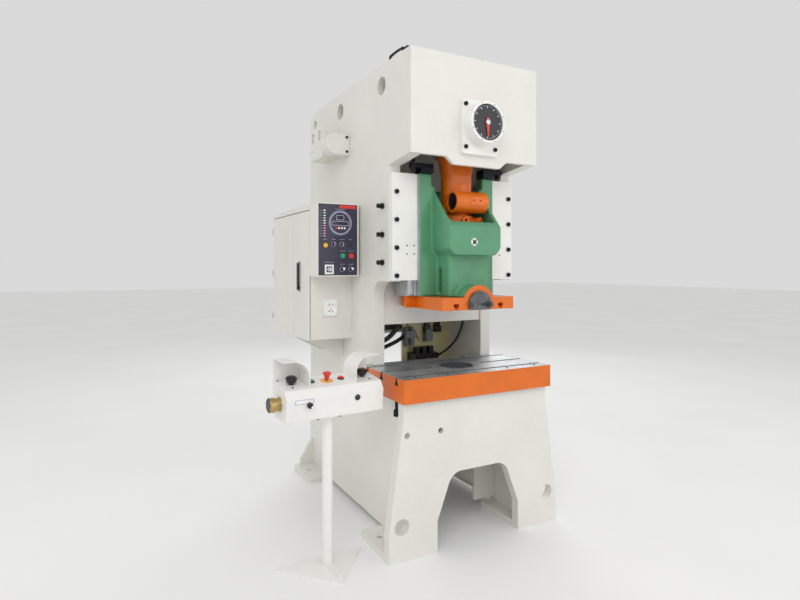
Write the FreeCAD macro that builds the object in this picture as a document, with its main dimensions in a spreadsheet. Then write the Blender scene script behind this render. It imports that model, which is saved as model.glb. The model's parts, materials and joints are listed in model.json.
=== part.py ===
"""Open-front mechanical stamping press with its two-hand console, in millimetres.

X runs to the operator's right, Y to the back and Z up. The origin is the centre of
the anchor holes, on the floor.
"""
import FreeCAD
import Part
import Sketcher

import math
import os

from FreeCAD import Placement, Rotation, Vector

SIZES = {
    # welded frame
    "side_spacing": 768, "side_thickness": 80, "body_depth": 1700, "bed_height": 881,
    "anchor_pitch_x": 1090, "anchor_pitch_y": 1250, "anchor_setback": 250, "anchor_hole": 34,
    "foot_thickness": 40, "foot_inner": 296, "foot_outer": 611, "front_foot_depth": 385,
    "rear_foot_depth": 368, "foot_corner": 30, "bed_plate": 60, "bed_plate_drop": 6,
    "bed_top_half": 522, "bed_cheek_height": 75, "bed_slope_end": 170,
    "arch_half": 296, "arch_shoulder": 180, "arch_top_half": 194, "arch_height": 443,
    "arch_corner": 93, "lifting_hole": 92, "lifting_hole_x": 530, "lifting_hole_z": 193,
    "inner_plate": 40, "throat_depth": 508, "throat_corner": 100, "gib_land": 290,
    "head_front": 48, "head_plate": 30, "head_skirt": 202, "head_drop": 44,
    "head_drop_half": 170, "head_drop_slope": 54, "head_rise": 404, "rear_corner": 110,
    "side_hole": 115, "side_hole_rear": 70, "side_hole_drop": 128,
    "rib_half": 217, "rib_plate": 20, "guard_sheet": 3, "shelf_drop": 1346,
    # bolster
    "bolster_half": 535, "bolster_front": -33, "bolster_depth": 580, "bolster_thickness": 136,
    "bolster_hole": 220, "slot_pitch": 190, "slot_neck": 22, "slot_neck_depth": 27,
    "slot_head": 38, "slot_head_depth": 18, "slot_stop": 185, "hold_down": 18, "notch_gap": 1,
    # working line
    "ram_depth": 250, "shut_height": 370, "stroke": 160, "ball_height": 403,
    "rod_length": 626, "running_gap": 0.3, "journal_gap": 0.05,
    # gibs
    "gib_inner": 280, "gib_outer": 457, "gib_front": 258, "gib_web": 52, "gib_lip": 290,
    "gib_rear": 480, "gib_height": 656, "gib_base": 175, "gib_screw": 16, "gib_screw_x": 428,
    "adjuster": 20, "adjuster_depth": 365,
    # slide
    "guide_half": 279, "guide_front": 232, "guide_back": 498, "guide_top": 762,
    "ear_inner": 191, "ear_top": 835, "box_half": 191, "box_front": 35, "box_low": 370,
    "box_neck": 328, "box_lip": 503, "pocket_half": 166, "pocket_floor": 443, "box_wall": 25,
    "neck_half": 153, "neck_front": 100, "slide_plate": 75, "slide_plate_half": 262,
    "slide_plate_front": 4, "slide_plate_depth": 500, "slide_slot_x": 163, "boss_arch": 115,
    "clamp_disc": 80, "clamp_height": 33, "shank_hole": 50,
    # connecting rod and screw
    "big_end": 125, "crank_pin": 75, "rod_width": 128, "rod_neck": 97, "rod_foot": 191,
    "screw": 55, "ball": 70, "worm_height": 257, "worm_housing": 66, "worm_left": 107,
    "worm_right": 126, "worm_depth": 140, "clamp_low": 110, "clamp_high": 178, "clamp_ring": 105,
    # drive
    "web": 170, "web_start": 120, "journal": 60, "main_shaft": 70, "bush_wall": 15,
    "wall_depth": 520, "rear_wall_depth": 1350, "wall_low": 119,
    "gear_module": 8, "gear_teeth": 84, "pinion_teeth": 14, "gear_depth": 1080,
    "gear_width": 120, "tooth_gap": 0.5, "pinion_shaft": 40, "flywheel": 334,
    "flywheel_depth": 1430, "flywheel_width": 130, "motor_pulley": 60, "motor_body": 120,
    "motor_rise": 200, "belt": 12, "belt_width": 20,
    "balance_bore": 45, "balance_side": 118, "balance_x": 325, "balance_depth": 236,
    "piston_height": 343,
    # dial
    "dial_plate_half": 128, "dial_plate_low": 180, "dial_plate_high": 144, "dial_radius": 124,
    "dial_front": 90, "dial_wall": 16, "dial_shaft": 20, "dial_screw_x": 108,
    # electrical boxes
    "box_side": 301, "cabinet_front": 850, "cabinet_length": 810, "cabinet_low": 1152,
    "cabinet_high": 2022, "cabinet_wall": 4, "door_thickness": 20, "door_gap": 4,
    "canopy_rise": 46, "panel_front": 700, "panel_low": 1582, "panel_high": 2064,
    "panel_left": 771, "panel_right": 480, "cam_front": 1090, "cam_length": 249,
    "cam_low": 2440, "cam_high": 2668, "cam_out": 126, "chain_front": 889, "chain_depth": 111,
    "chain_out": 171, "chain_half": 73.5,
    # console
    "console_x": -909, "console_depth": 163, "console_turn": 4, "console_half": 286,
    "console_shift": 11, "console_low": 842, "pole": 57,
    "palm_pitch": 428, "hood_width": 150, "hood_height": 118, "hood_corner": 95,
}


class Size:
    """A length together with the sheet expression that gives it."""

    def __init__(self, value, text):
        self.value = float(value)
        self.text = text

    @staticmethod
    def of(other):
        return other if isinstance(other, Size) else Size(other, repr(float(other)))

    def joined(self, sign, other, value):
        return Size(value, f"({self.text} {sign} {other.text})")

    def __add__(self, other):
        other = Size.of(other)
        return self.joined("+", other, self.value + other.value)

    def __sub__(self, other):
        other = Size.of(other)
        return self.joined("-", other, self.value - other.value)

    def __mul__(self, other):
        other = Size.of(other)
        return self.joined("*", other, self.value * other.value)

    def __truediv__(self, other):
        other = Size.of(other)
        return self.joined("/", other, self.value / other.value)

    def __radd__(self, other):
        return Size.of(other) + self

    def __rsub__(self, other):
        return Size.of(other) - self

    def __rmul__(self, other):
        return Size.of(other) * self

    def __neg__(self):
        return Size(-self.value, f"(-1 * {self.text})")

    def __float__(self):
        return self.value


class Press:
    """The document, its sheet of driving sizes, and the places worked out from them."""

    def __init__(self):
        self.doc = FreeCAD.newDocument("stamping_press")
        self.sheet = self.doc.addObject("Spreadsheet::Sheet", "sizes")
        self.nodes = []
        for row, (alias, value) in enumerate(SIZES.items(), start=1):
            self.sheet.set(f"A{row}", alias)
            self.sheet.set(f"B{row}", str(value))
            self.sheet.setAlias(f"B{row}", alias)
            setattr(self, alias, Size(value, f"<<sizes>>.{alias}"))
        self.doc.recompute()
        self.front = -self.anchor_pitch_y / 2 - self.anchor_setback
        self.inner = self.side_spacing / 2
        self.outer = self.side_spacing / 2 + self.side_thickness
        self.bolster_top = self.bed_height + self.bolster_thickness
        self.slide_base = self.bolster_top + self.shut_height
        self.flange_top = self.slide_base + self.slide_plate
        self.ball_z = self.slide_base + self.ball_height
        self.pin_z = self.ball_z + self.rod_length
        self.crank_z = self.pin_z + self.stroke / 2
        self.top = self.crank_z + self.head_rise
        self.ram_y = self.depth(self.ram_depth)
        self.pinion_z = self.crank_z - self.gear_module * (self.gear_teeth + self.pinion_teeth) / 2
        self.shelf_top = self.crank_z - self.shelf_drop + self.rib_plate
        self.motor_z = self.shelf_top + self.motor_rise - self.rib_plate

    def depth(self, value):
        """Row Y of a place measured backwards from the frame's front face."""
        return self.front + value

    def keep(self, thing, name):
        """Name a finished sub-part; it is written out under this name."""
        thing.Label = name
        self.nodes.append(thing)
        return thing


# --- drawing helpers ---------------------------------------------------------------

def bind(thing, path, size):
    """Set a property and tie it to the sheet."""
    size = Size.of(size)
    if "<<" in size.text:
        thing.setExpression(path, size.text)
    elif path.startswith("Placement.Base."):
        base = thing.Placement.Base
        setattr(base, path[-1], size.value)
        thing.Placement = Placement(base, thing.Placement.Rotation)
    else:
        setattr(thing, path, size.value)


def seat(thing, x=0, y=0, z=0, rotation=None):
    """Put a thing at a place; only the coordinates that aren't zero are bound."""
    if rotation is not None:
        thing.Placement = Placement(Vector(), rotation)
    for letter, size in (("x", x), ("y", y), ("z", z)):
        if Size.of(size).value or isinstance(size, Size):
            bind(thing, f"Placement.Base.{letter}", size)


def pin_point(sketch, rules, geometry, end, x, y):
    """Tie a point of the sketch to its two coordinates."""
    for kind, size in (("DistanceX", x), ("DistanceY", y)):
        size = Size.of(size)
        rules.append((Sketcher.Constraint(kind, -1, 1, geometry, end, size.value), size))


def corner_arc(before, at, after, radius):
    """Tangent points, centre and turning direction of a rounded corner."""
    come = (at - before).normalize()
    leave = (after - at).normalize()
    turn = math.atan2(come.x * leave.y - come.y * leave.x, come.x * leave.x + come.y * leave.y)
    reach = radius * math.tan(abs(turn) / 2)
    first, last = at - come * reach, at + leave * reach
    side = Vector(-come.y, come.x, 0) * math.copysign(1, turn)
    return first, last, first + side * radius, turn > 0


def draw_loop(sketch, corners, rules):
    """Draw a closed outline of (x, y) or (x, y, radius) corners and tie it to the sheet."""
    points = [Vector(float(Size.of(c[0])), float(Size.of(c[1])), 0) for c in corners]
    count = len(corners)
    arcs = {}
    for index, corner in enumerate(corners):
        if len(corner) == 3:
            arcs[index] = corner_arc(points[index - 1], points[index],
                                     points[(index + 1) % count], float(Size.of(corner[2])))
    lines = []
    for index in range(count):
        follower = (index + 1) % count
        start = arcs[index][1] if index in arcs else points[index]
        end = arcs[follower][0] if follower in arcs else points[follower]
        lines.append(sketch.addGeometry(Part.LineSegment(start, end), False))
    for index, corner in enumerate(corners):
        before, after = lines[index - 1], lines[index]
        if index not in arcs:
            rules.append((Sketcher.Constraint("Coincident", before, 2, after, 1), None))
            pin_point(sketch, rules, after, 1, corner[0], corner[1])
            continue
        first, last, centre, left_turn = arcs[index]
        begin, finish = (first, last) if left_turn else (last, first)
        angles = [math.atan2(p.y - centre.y, p.x - centre.x) for p in (begin, finish)]
        if angles[1] < angles[0]:
            angles[1] += 2 * math.pi
        radius = Size.of(corner[2])
        circle = Part.Circle(centre, Vector(0, 0, 1), radius.value)
        arc = sketch.addGeometry(Part.ArcOfCircle(circle, *angles), False)
        entry, leaving = (1, 2) if left_turn else (2, 1)
        rules.append((Sketcher.Constraint("Tangent", before, 2, arc, entry), None))
        rules.append((Sketcher.Constraint("Tangent", after, 1, arc, leaving), None))
        rules.append((Sketcher.Constraint("Radius", arc, radius.value), radius))
        knee = sketch.addGeometry(Part.Point(points[index]), True)
        rules.append((Sketcher.Constraint("PointOnObject", knee, 1, before), None))
        rules.append((Sketcher.Constraint("PointOnObject", knee, 1, after), None))
        pin_point(sketch, rules, knee, 1, corner[0], corner[1])


def draw_circle(sketch, hole, rules):
    """Draw a circle of (x, y, radius) and tie it to the sheet."""
    x, y, radius = (Size.of(value) for value in hole)
    circle = sketch.addGeometry(
        Part.Circle(Vector(x.value, y.value, 0), Vector(0, 0, 1), radius.value), False)
    pin_point(sketch, rules, circle, 3, x, y)
    rules.append((Sketcher.Constraint("Radius", circle, radius.value), radius))


def sketch_in(body, plane, loops=(), circles=()):
    """A sketch on one of the body's own origin planes."""
    sketch = body.newObject("Sketcher::SketchObject", body.Name + "_outline")
    support = next(f for f in body.Origin.OriginFeatures if f.Role == plane + "_Plane")
    sketch.AttachmentSupport = [(support, "")]
    sketch.MapMode = "FlatFace"
    rules = []
    for corners in loops:
        draw_loop(sketch, corners, rules)
    for hole in circles:
        draw_circle(sketch, hole, rules)
    sketch.addConstraint([rule for rule, _ in rules])
    for index, (_, size) in enumerate(rules):
        if size is not None and "<<" in size.text:
            sketch.setExpression(f"Constraints[{index}]", size.text)
    return sketch


def plate(press, name, plane, loops, thickness, start=0, circles=()):
    """An outline in plane XY, XZ or YZ, thickened from start towards the third axis."""
    body = press.doc.addObject("PartDesign::Body", name)
    sketch = sketch_in(body, plane, loops, circles)
    pad = body.newObject("PartDesign::Pad", name + "_pad")
    pad.Profile = sketch
    pad.Reversed = plane == "XZ"
    bind(pad, "Length", thickness)
    seat(body, **{{"XY": "z", "XZ": "y", "YZ": "x"}[plane]: start})
    return body


def turned(press, name, axis, profile, x=0, y=0, z=0):
    """A profile of (along, radius) corners turned about an axis through (x, y, z)."""
    body = press.doc.addObject("PartDesign::Body", name)
    if axis == "z":
        plane, line, corners = "XZ", "V_Axis", [(c[1], c[0], *c[2:]) for c in profile]
    else:
        plane, line, corners = ("YZ" if axis == "y" else "XZ"), "H_Axis", profile
    sketch = sketch_in(body, plane, [corners])
    turn = body.newObject("PartDesign::Revolution", name + "_turn")
    turn.Profile = sketch
    turn.ReferenceAxis = (sketch, [line])
    turn.Angle = 360
    seat(body, x, y, z)
    return body


def block(press, name, x, y, z):
    """A box between the pairs x, y and z of low and high sizes."""
    box = press.doc.addObject("Part::Box", name)
    for path, (low, high) in (("Length", x), ("Width", y), ("Height", z)):
        bind(box, path, Size.of(high) - low)
    seat(box, x[0], y[0], z[0])
    return box


AXIS_TURN = {"x": Rotation(Vector(0, 1, 0), 90), "y": Rotation(Vector(1, 0, 0), -90),
             "z": Rotation()}


def bar(press, name, axis, radius, start, length, x=0, y=0, z=0):
    """A round bar along an axis; start replaces the coordinate on that axis."""
    cylinder = press.doc.addObject("Part::Cylinder", name)
    bind(cylinder, "Radius", radius)
    bind(cylinder, "Height", length)
    place = {"x": x, "y": y, "z": z, axis: start}
    seat(cylinder, rotation=AXIS_TURN[axis], **place)
    return cylinder


def nut(press, name, axis, across, start, length, x=0, y=0, z=0):
    """A hexagon of the given width across its flats."""
    prism = press.doc.addObject("Part::Prism", name)
    prism.Polygon = 6
    bind(prism, "Circumradius", Size.of(across) / (2 * math.cos(math.pi / 6)))
    bind(prism, "Height", length)
    place = {"x": x, "y": y, "z": z, axis: start}
    seat(prism, rotation=AXIS_TURN[axis], **place)
    return prism


def fuse(press, name, *shapes):
    joined = press.doc.addObject("Part::MultiFuse", name)
    joined.Shapes = list(shapes)
    joined.Refine = True
    return joined


def cut(press, name, base, *tools):
    """The base without its tools."""
    trimmed = press.doc.addObject("Part::Cut", name)
    trimmed.Base = base
    trimmed.Tool = tools[0] if len(tools) == 1 else fuse(press, name + "_tools", *tools)
    trimmed.Refine = True
    return trimmed


def group(press, name, shapes):
    bundle = press.doc.addObject("Part::Compound", name)
    bundle.Links = list(shapes)
    return bundle


def mirrored(press, name, source):
    """The same piece on the other side of the press's middle plane."""
    twin = press.doc.addObject("Part::Mirroring", name)
    twin.Source = source
    twin.Normal = Vector(1, 0, 0)
    return twin


# --- welded frame ------------------------------------------------------------------

def side_plates(press):
    """The two C-shaped side plates, open at the throat."""
    p = press
    low, land = p.foot_thickness, p.slide_base + p.gib_base - 7
    gib_end = p.slide_base + p.gib_base + p.gib_height + 47
    outline = [
        (p.depth(p.bed_plate), low), (p.depth(p.bed_plate), p.bed_height),
        (p.depth(p.throat_depth), p.bed_height),
        (p.depth(p.throat_depth), land, p.throat_corner),
        (p.depth(p.gib_land), land), (p.depth(p.gib_land), gib_end),
        (p.depth(p.head_front), p.crank_z - p.head_skirt), (p.depth(p.head_front), p.top),
        (p.depth(p.body_depth), p.top, p.rear_corner), (p.depth(p.body_depth), low)]
    holes = [(p.depth(392), p.top - p.side_hole_drop, p.side_hole / 2),
             (p.depth(1063), p.top - p.side_hole_drop, p.side_hole / 2),
             (p.depth(p.body_depth - 105), p.top - 105, p.side_hole_rear / 2)]
    holes += [(p.depth(p.adjuster_depth), height, p.adjuster / 2 + 0.5)
              for height in adjuster_heights(p)]
    right = plate(p, "right_side", "YZ", [outline], p.side_thickness, p.inner, holes)
    p.keep(right, "right_side_plate")
    p.keep(mirrored(p, "left_side", right), "left_side_plate")


def adjuster_heights(p):
    return [p.slide_base + p.gib_base + p.gib_height * share for share in (1 / 6, 0.43, 0.7)]


def screw_heights(p):
    return [p.slide_base + p.gib_base + 29 + (p.gib_height - 145) / 3 * row for row in range(4)]


def bed_front_plate(press):
    p = press
    top, cheek = p.bed_height - p.bed_plate_drop, p.bed_height - p.bed_plate_drop - p.bed_cheek_height
    half = [(p.arch_half, 0), (p.foot_outer, 0), (p.foot_outer, p.bed_slope_end),
            (p.bed_top_half, cheek), (p.bed_top_half, top)]
    arch = [(-p.arch_half, p.arch_shoulder), (-p.arch_top_half, p.arch_height, p.arch_corner),
            (p.arch_top_half, p.arch_height, p.arch_corner), (p.arch_half, p.arch_shoulder)]
    outline = half + [(-x, z) for x, z in reversed(half)] + arch
    holes = [(side * p.lifting_hole_x, p.lifting_hole_z, p.lifting_hole / 2) for side in (-1, 1)]
    holes += [(-x, 698, 17) for x in (Size.of(496), Size.of(274))]
    p.keep(plate(p, "bed_front", "XZ", [outline], p.bed_plate, p.front, holes), "bed_front_plate")


def bed_table(press):
    p = press
    outline = [(-p.inner, p.depth(p.bed_plate)), (p.inner, p.depth(p.bed_plate)),
               (p.inner, p.depth(p.throat_depth)), (-p.inner, p.depth(p.throat_depth))]
    table = plate(p, "table", "XY", [outline], p.bed_plate, p.bed_height - p.bed_plate,
                  [(0, p.ram_y, p.bolster_hole / 2 + 20)])
    p.keep(table, "bed_table")


def inner_walls(press):
    """Ribs under the bed, the bearing walls in the body, the motor shelf and the rear tie."""
    p = press
    wall_low = p.slide_base - p.wall_low
    roof = p.top - p.head_plate
    bores = [(0, p.crank_z, p.main_shaft + p.bush_wall), (0, p.pinion_z, p.pinion_shaft + 12)]
    pieces = []
    for name, start, low in (("chamber", p.wall_depth, wall_low),
                             ("rear_bearing", p.rear_wall_depth, p.pinion_z - 480)):
        outline = [(-p.inner, low), (p.inner, low), (p.inner, roof), (-p.inner, roof)]
        pieces.append(plate(p, name + "_wall", "XZ", [outline], p.inner_plate, p.depth(start), bores))
    pieces.append(block(p, "motor_shelf", (-p.inner, p.inner), (p.depth(1000), p.depth(1420)),
                        (p.shelf_top - p.rib_plate, p.shelf_top)))
    pieces.append(block(p, "rear_tie", (-p.inner, p.inner), (p.depth(1640), p.depth(1670)),
                        (p.foot_thickness, 600)))
    table_low = p.bed_height - p.bed_plate
    web = block(p, "cross_rib", (p.rib_half, p.inner), (p.depth(353), p.depth(353) + p.rib_plate),
                (70, table_low))
    beam = block(p, "long_rib", (p.rib_half, p.rib_half + p.rib_plate),
                 (p.depth(353) + p.rib_plate, p.depth(700)), (180, table_low - 120))
    rib = fuse(p, "right_rib", web, beam)
    pieces += [rib, mirrored(p, "left_rib", rib)]
    p.keep(group(p, "walls", pieces), "inner_walls")


def foot_plates(press):
    p = press
    feet = []
    for name, start, length, hole in (
            ("front", Size.of(p.bed_plate), p.front_foot_depth - p.bed_plate, p.anchor_setback),
            ("rear", p.body_depth - p.rear_foot_depth, p.rear_foot_depth,
             p.anchor_setback + p.anchor_pitch_y)):
        near, far = p.depth(start), p.depth(start + length)
        corners = {"front": [(p.foot_outer, near), (p.foot_outer, far, p.foot_corner)],
                   "rear": [(p.foot_outer, near, p.foot_corner), (p.foot_outer, far, p.foot_corner)]}
        outline = [(p.foot_inner, near)] + corners[name] + [(p.foot_inner, far)]
        foot = plate(p, name + "_foot", "XY", [outline], p.foot_thickness, 0,
                     [(p.anchor_pitch_x / 2, p.depth(hole), p.anchor_hole / 2)])
        if name == "rear":
            gusset = plate(p, "gusset", "XZ", [[
                (p.outer, p.foot_thickness), (p.foot_outer - 40, p.foot_thickness),
                (p.foot_outer - 40, 82), (p.outer + 12, 240), (p.outer, 240)]],
                30, p.depth(p.body_depth - 60))
            foot = fuse(p, "rear_foot_and_gusset", foot, gusset)
        feet += [foot, mirrored(p, name + "_foot_left", foot)]
    p.keep(group(p, "feet", feet), "foot_plates")


def head_plates(press):
    """Front plate with its dropped middle, and the top plate."""
    p = press
    edge, drop = p.crank_z - p.head_skirt, p.crank_z - p.head_skirt - p.head_drop
    slope = p.head_drop_half + p.head_drop_slope
    half = [(p.head_drop_half, drop), (slope, edge), (p.outer, edge), (p.outer, p.top)]
    outline = half + [(-x, z) for x, z in reversed(half)]
    bore = [(0, p.crank_z, p.journal + p.bush_wall)]
    front = plate(p, "head_front", "XZ", [outline], p.head_plate,
                  p.depth(p.head_front - p.head_plate), bore)
    roof = block(p, "head_top", (-p.inner, p.inner),
                 (p.depth(p.head_front), p.depth(p.body_depth - p.rear_corner)),
                 (p.top - p.head_plate, p.top))
    p.keep(group(p, "head", [front, roof]), "head_plates")


def rear_guard(press):
    """Louvred sheet over the flywheel and motor at the back."""
    p = press
    low, high = p.shelf_top + 30, p.top - p.rear_corner - 10
    outline = [(-p.outer, low), (p.outer, low), (p.outer, high), (-p.outer, high)]
    slots = []
    for row in range(12):
        height = low + 120 + row * 45
        for side in (-1, 1):
            middle = side * p.inner / 2
            slots.append([(middle - 120, height), (middle + 120, height),
                          (middle + 120, height + 12), (middle - 120, height + 12)])
    guard = plate(p, "guard", "XZ", [outline] + slots, p.guard_sheet, p.depth(p.body_depth))
    p.keep(guard, "rear_guard")


# --- bolster and gibs --------------------------------------------------------------

def slot_tools(press, name, along, across, top, ends):
    """A T-slot cutter below the face at top; along is its run and across its middle line."""
    p = press
    neck_low = top - p.slot_neck_depth
    head_low = neck_low - p.slot_head_depth
    tools = []
    for part, half, low, high in (("neck", p.slot_neck / 2, neck_low, top + 1),
                                  ("head", p.slot_head / 2, head_low, neck_low)):
        run, width = ends, (across - half, across + half)
        x, y = (run, width) if along == "x" else (width, run)
        tools.append(block(p, f"{name}_{part}", x, y, (low, high)))
    return tools


def bolster(press):
    p = press
    front = p.depth(p.bolster_front)
    slab = block(p, "bolster_slab", (-p.bolster_half, p.bolster_half),
                 (front, front + p.bolster_depth), (p.bed_height, p.bolster_top))
    tools = []
    full = (-p.bolster_half - 1, p.bolster_half + 1)
    runs = [("near", -1, full), ("far", 1, full),
            ("middle_left", 0, (-p.bolster_half - 1, -p.slot_stop)),
            ("middle_right", 0, (p.slot_stop, p.bolster_half + 1))]
    for name, row, ends in runs:
        line = p.ram_y + row * p.slot_pitch
        tools += slot_tools(p, "bolster_slot_" + name, "x", line, p.bolster_top, ends)
    tools.append(bar(p, "bolster_bore", "z", p.bolster_hole / 2, p.bed_height - 1,
                     p.bolster_thickness + 2, y=p.ram_y))
    for side in (-1, 1):
        tools.append(bar(p, f"hold_down_hole_{side + 1}", "z", p.hold_down / 2, p.bed_height - 1,
                         41, x=side * (p.outer + 48), y=p.depth(100)))
        ends = (side * (p.inner - p.notch_gap), side * (p.outer + p.notch_gap))
        tools.append(block(p, f"side_notch_{side + 1}", ends if side > 0 else ends[::-1],
                           (p.depth(p.throat_depth) - p.notch_gap, front + p.bolster_depth + 1),
                           (p.bed_height - 1, p.bolster_top + 1)))
    p.keep(cut(p, "bolster_cut", slab, *tools), "bolster")
    studs = []
    for side in (-1, 1):
        place = {"x": side * (p.outer + 48), "y": p.depth(100)}
        stud = bar(p, f"stud_{side + 1}", "z", p.hold_down / 2, p.bed_height - 96, 136, **place)
        studs.append(fuse(p, f"hold_down_{side + 1}", stud,
                          nut(p, f"stud_nut_{side + 1}", "z", 34, p.bed_height - 92, 36, **place)))
    p.keep(group(p, "hold_downs", studs), "bolster_bolts")


def gibs(press):
    """Angle-section guide strips with their front plates, screws and adjusters."""
    p = press
    low = p.slide_base + p.gib_base
    web = p.inner - p.gib_web
    angle = [(web, p.depth(p.gib_lip)), (p.inner, p.depth(p.gib_lip)),
             (p.inner, p.depth(p.wall_depth)), (p.gib_inner + 10, p.depth(p.wall_depth)),
             (p.gib_inner + 10, p.depth(p.gib_rear)), (web, p.depth(p.gib_rear))]
    strip = plate(p, "gib_strip", "XY", [angle], p.gib_height, low)
    p.keep(group(p, "gib_strips", [strip, mirrored(p, "gib_strip_left", strip)]), "side_gibs")
    screws = screw_heights(p)
    face = [(p.gib_inner, low), (p.gib_outer, low), (p.gib_outer, low + p.gib_height),
            (p.gib_inner, low + p.gib_height)]
    holes = [(p.gib_screw_x, height, p.gib_screw / 2 + 0.5) for height in screws]
    holes += [(p.gib_inner + 26 + 49 * column, screws[1] - 38 + 52 * row, 4)
              for column in (0, 1) for row in (0, 1)]
    cover = plate(p, "gib_cover", "XZ", [face], p.gib_lip - p.gib_front, p.depth(p.gib_front), holes)
    p.keep(group(p, "gib_covers", [cover, mirrored(p, "gib_cover_left", cover)]), "gib_plates")
    bolts = []
    for side in (-1, 1):
        for row, height in enumerate(screws):
            bolts.append(socket_screw(p, f"gib_screw_{side + 1}_{row}", side * p.gib_screw_x,
                                      height, p.depth(p.gib_front), p.gib_screw / 2,
                                      p.gib_lip - p.gib_front))
    for x in (-1, 1):
        for z in (-p.dial_plate_low + 40, p.dial_plate_high - 30):
            bolts.append(socket_screw(p, f"dial_screw_{x + 1}_{len(bolts)}", x * p.dial_screw_x,
                                      p.crank_z + z, p.depth(-10), Size.of(7), Size.of(28)))
    p.keep(group(p, "screws", bolts), "cover_screws")
    adjusters = []
    for row, height in enumerate(adjuster_heights(p)):
        place = {"y": p.depth(p.adjuster_depth), "z": height}
        stud = bar(p, f"adjuster_{row}", "x", p.adjuster / 2, p.inner, p.side_thickness + 42, **place)
        lock = nut(p, f"adjuster_nut_{row}", "x", 32, p.outer, 17, **place)
        head = nut(p, f"adjuster_head_{row}", "x", 26, p.outer + 26, 16, **place)
        right = fuse(p, f"adjuster_set_{row}", stud, lock, head)
        adjusters += [right, mirrored(p, f"adjuster_left_{row}", right)]
    p.keep(group(p, "adjusters", adjusters), "gib_adjusters")


def socket_screw(press, name, x, z, face, radius, grip):
    """A socket-head screw along Y whose head stands in front of the face."""
    tall, wide = radius * 1.5, radius * 1.75
    head = bar(press, name + "_head", "y", wide, face - tall, tall, x=x, z=z)
    shank = bar(press, name + "_shank", "y", radius, face, grip, x=x, z=z)
    socket = nut(press, name + "_socket", "y", radius * 1.6, face - tall - 1, radius, x=x, z=z)
    return cut(press, name, fuse(press, name + "_solid", head, shank), socket)


# --- slide -------------------------------------------------------------------------

def slide(press):
    """Cast slide: guide body with wings, front pocket box, ears and neck."""
    p = press
    base, gap = p.slide_base, p.running_gap
    guide_low, guide_top = p.flange_top, base + p.guide_top
    wing = p.inner - p.gib_web - gap
    rear = p.gib_inner + 10 - gap
    front = p.depth(p.guide_front)
    half = [(p.guide_half, front), (p.guide_half, p.depth(p.gib_lip) + gap),
            (wing, p.depth(p.gib_lip) + gap), (wing, p.depth(p.gib_rear) - gap),
            (rear, p.depth(p.gib_rear) - gap), (rear, p.depth(p.guide_back))]
    outline = half + [(-x, y) for x, y in reversed(half)]
    guide = plate(p, "guide", "XY", [outline], guide_top - guide_low, guide_low)
    box_half = [(p.neck_half, base + p.box_neck, 30), (p.box_half, base + p.box_low, 40),
                (p.box_half, guide_top)]
    shell = box_half + [(-c[0], *c[1:]) for c in reversed(box_half)]
    box = plate(p, "pocket_box", "XZ", [shell], p.guide_front - p.box_front + 5,
                p.depth(p.box_front))
    neck = block(p, "neck", (-p.neck_half, p.neck_half), (p.depth(p.neck_front), front + 5),
                 (guide_low, base + p.box_neck + 5))
    ears = []
    for side in (-1, 1):
        ends = (side * p.ear_inner, side * p.guide_half)
        ears.append(block(p, f"ear_{side + 1}", ends if side > 0 else ends[::-1],
                          (front, front + 68), (guide_top - 5, base + p.ear_top)))
    arch = bar(p, "arch_boss", "y", p.boss_arch, p.depth(p.slide_plate_front) + 6,
               p.neck_front - p.slide_plate_front, z=base + p.clamp_height)
    casting = fuse(p, "casting", guide, box, neck, *ears, arch)
    lip = base + p.box_lip
    slant = plate(p, "slant", "YZ", [[
        (p.depth(p.box_front) - 1, lip), (front, base + p.guide_top - 30, 40),
        (front, guide_top + 200), (p.depth(p.box_front) - 1, guide_top + 200)]],
        2 * p.box_half + 2, -p.box_half - 1)
    back = p.depth(p.guide_back)
    pocket = plate(p, "pocket", "XY", [[
        (-p.pocket_half, p.depth(p.box_front) + p.box_wall, 30),
        (p.pocket_half, p.depth(p.box_front) + p.box_wall, 30),
        (p.pocket_half, back - 58, 30), (-p.pocket_half, back - 58, 30)]],
        guide_top - base, base + p.pocket_floor)
    below = block(p, "below", (-200, 200), (p.front - 100, front), (base - 200, guide_low))
    knock_out = plate(p, "knock_out_slot", "YZ", [[
        (p.depth(190), base + 88, 17), (p.depth(225), base + 88, 17),
        (p.depth(225), base + 250, 17), (p.depth(190), base + 250, 17)]],
        2 * p.neck_half + 2, -p.neck_half - 1)
    seat_ball = press.doc.addObject("Part::Sphere", "ball_seat")
    bind(seat_ball, "Radius", p.ball + gap)
    seat(seat_ball, y=p.ram_y, z=p.ball_z)
    mouth = bar(p, "ball_mouth", "z", p.ball + 1, p.ball_z, p.pocket_floor, y=p.ram_y)
    cup = fuse(p, "ball_cup", seat_ball, mouth)
    shank_bore = bar(p, "slide_shank_bore", "z", p.shank_hole / 2, base - 1, p.slide_plate + 41,
                     y=p.ram_y)
    clamp_space = bar(p, "clamp_space", "y", p.clamp_disc + 0.5, p.depth(p.slide_plate_front),
                      p.ram_depth - p.slide_plate_front, z=base + p.clamp_height)
    hollowed = cut(p, "slide_hollowed", casting, slant, pocket, below, knock_out, clamp_space)
    body = cut(p, "slide_cut", hollowed, cup, shank_bore)
    ring = turned(p, "cap_ring", "z", [(p.pocket_floor, p.screw - 8), (p.pocket_floor, 115),
                                       (p.ball_height + 62, 115, 8),
                                       (p.ball_height + 62, p.screw - 8)],
                  y=p.ram_y, z=base)
    cap_ball = press.doc.addObject("Part::Sphere", "cap_ball")
    bind(cap_ball, "Radius", p.ball + gap)
    seat(cap_ball, y=p.ram_y, z=p.ball_z)
    cap = cut(p, "cap_cut", ring, cap_ball)
    p.keep(body, "slide")
    p.keep(cap, "ball_cap")


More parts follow.
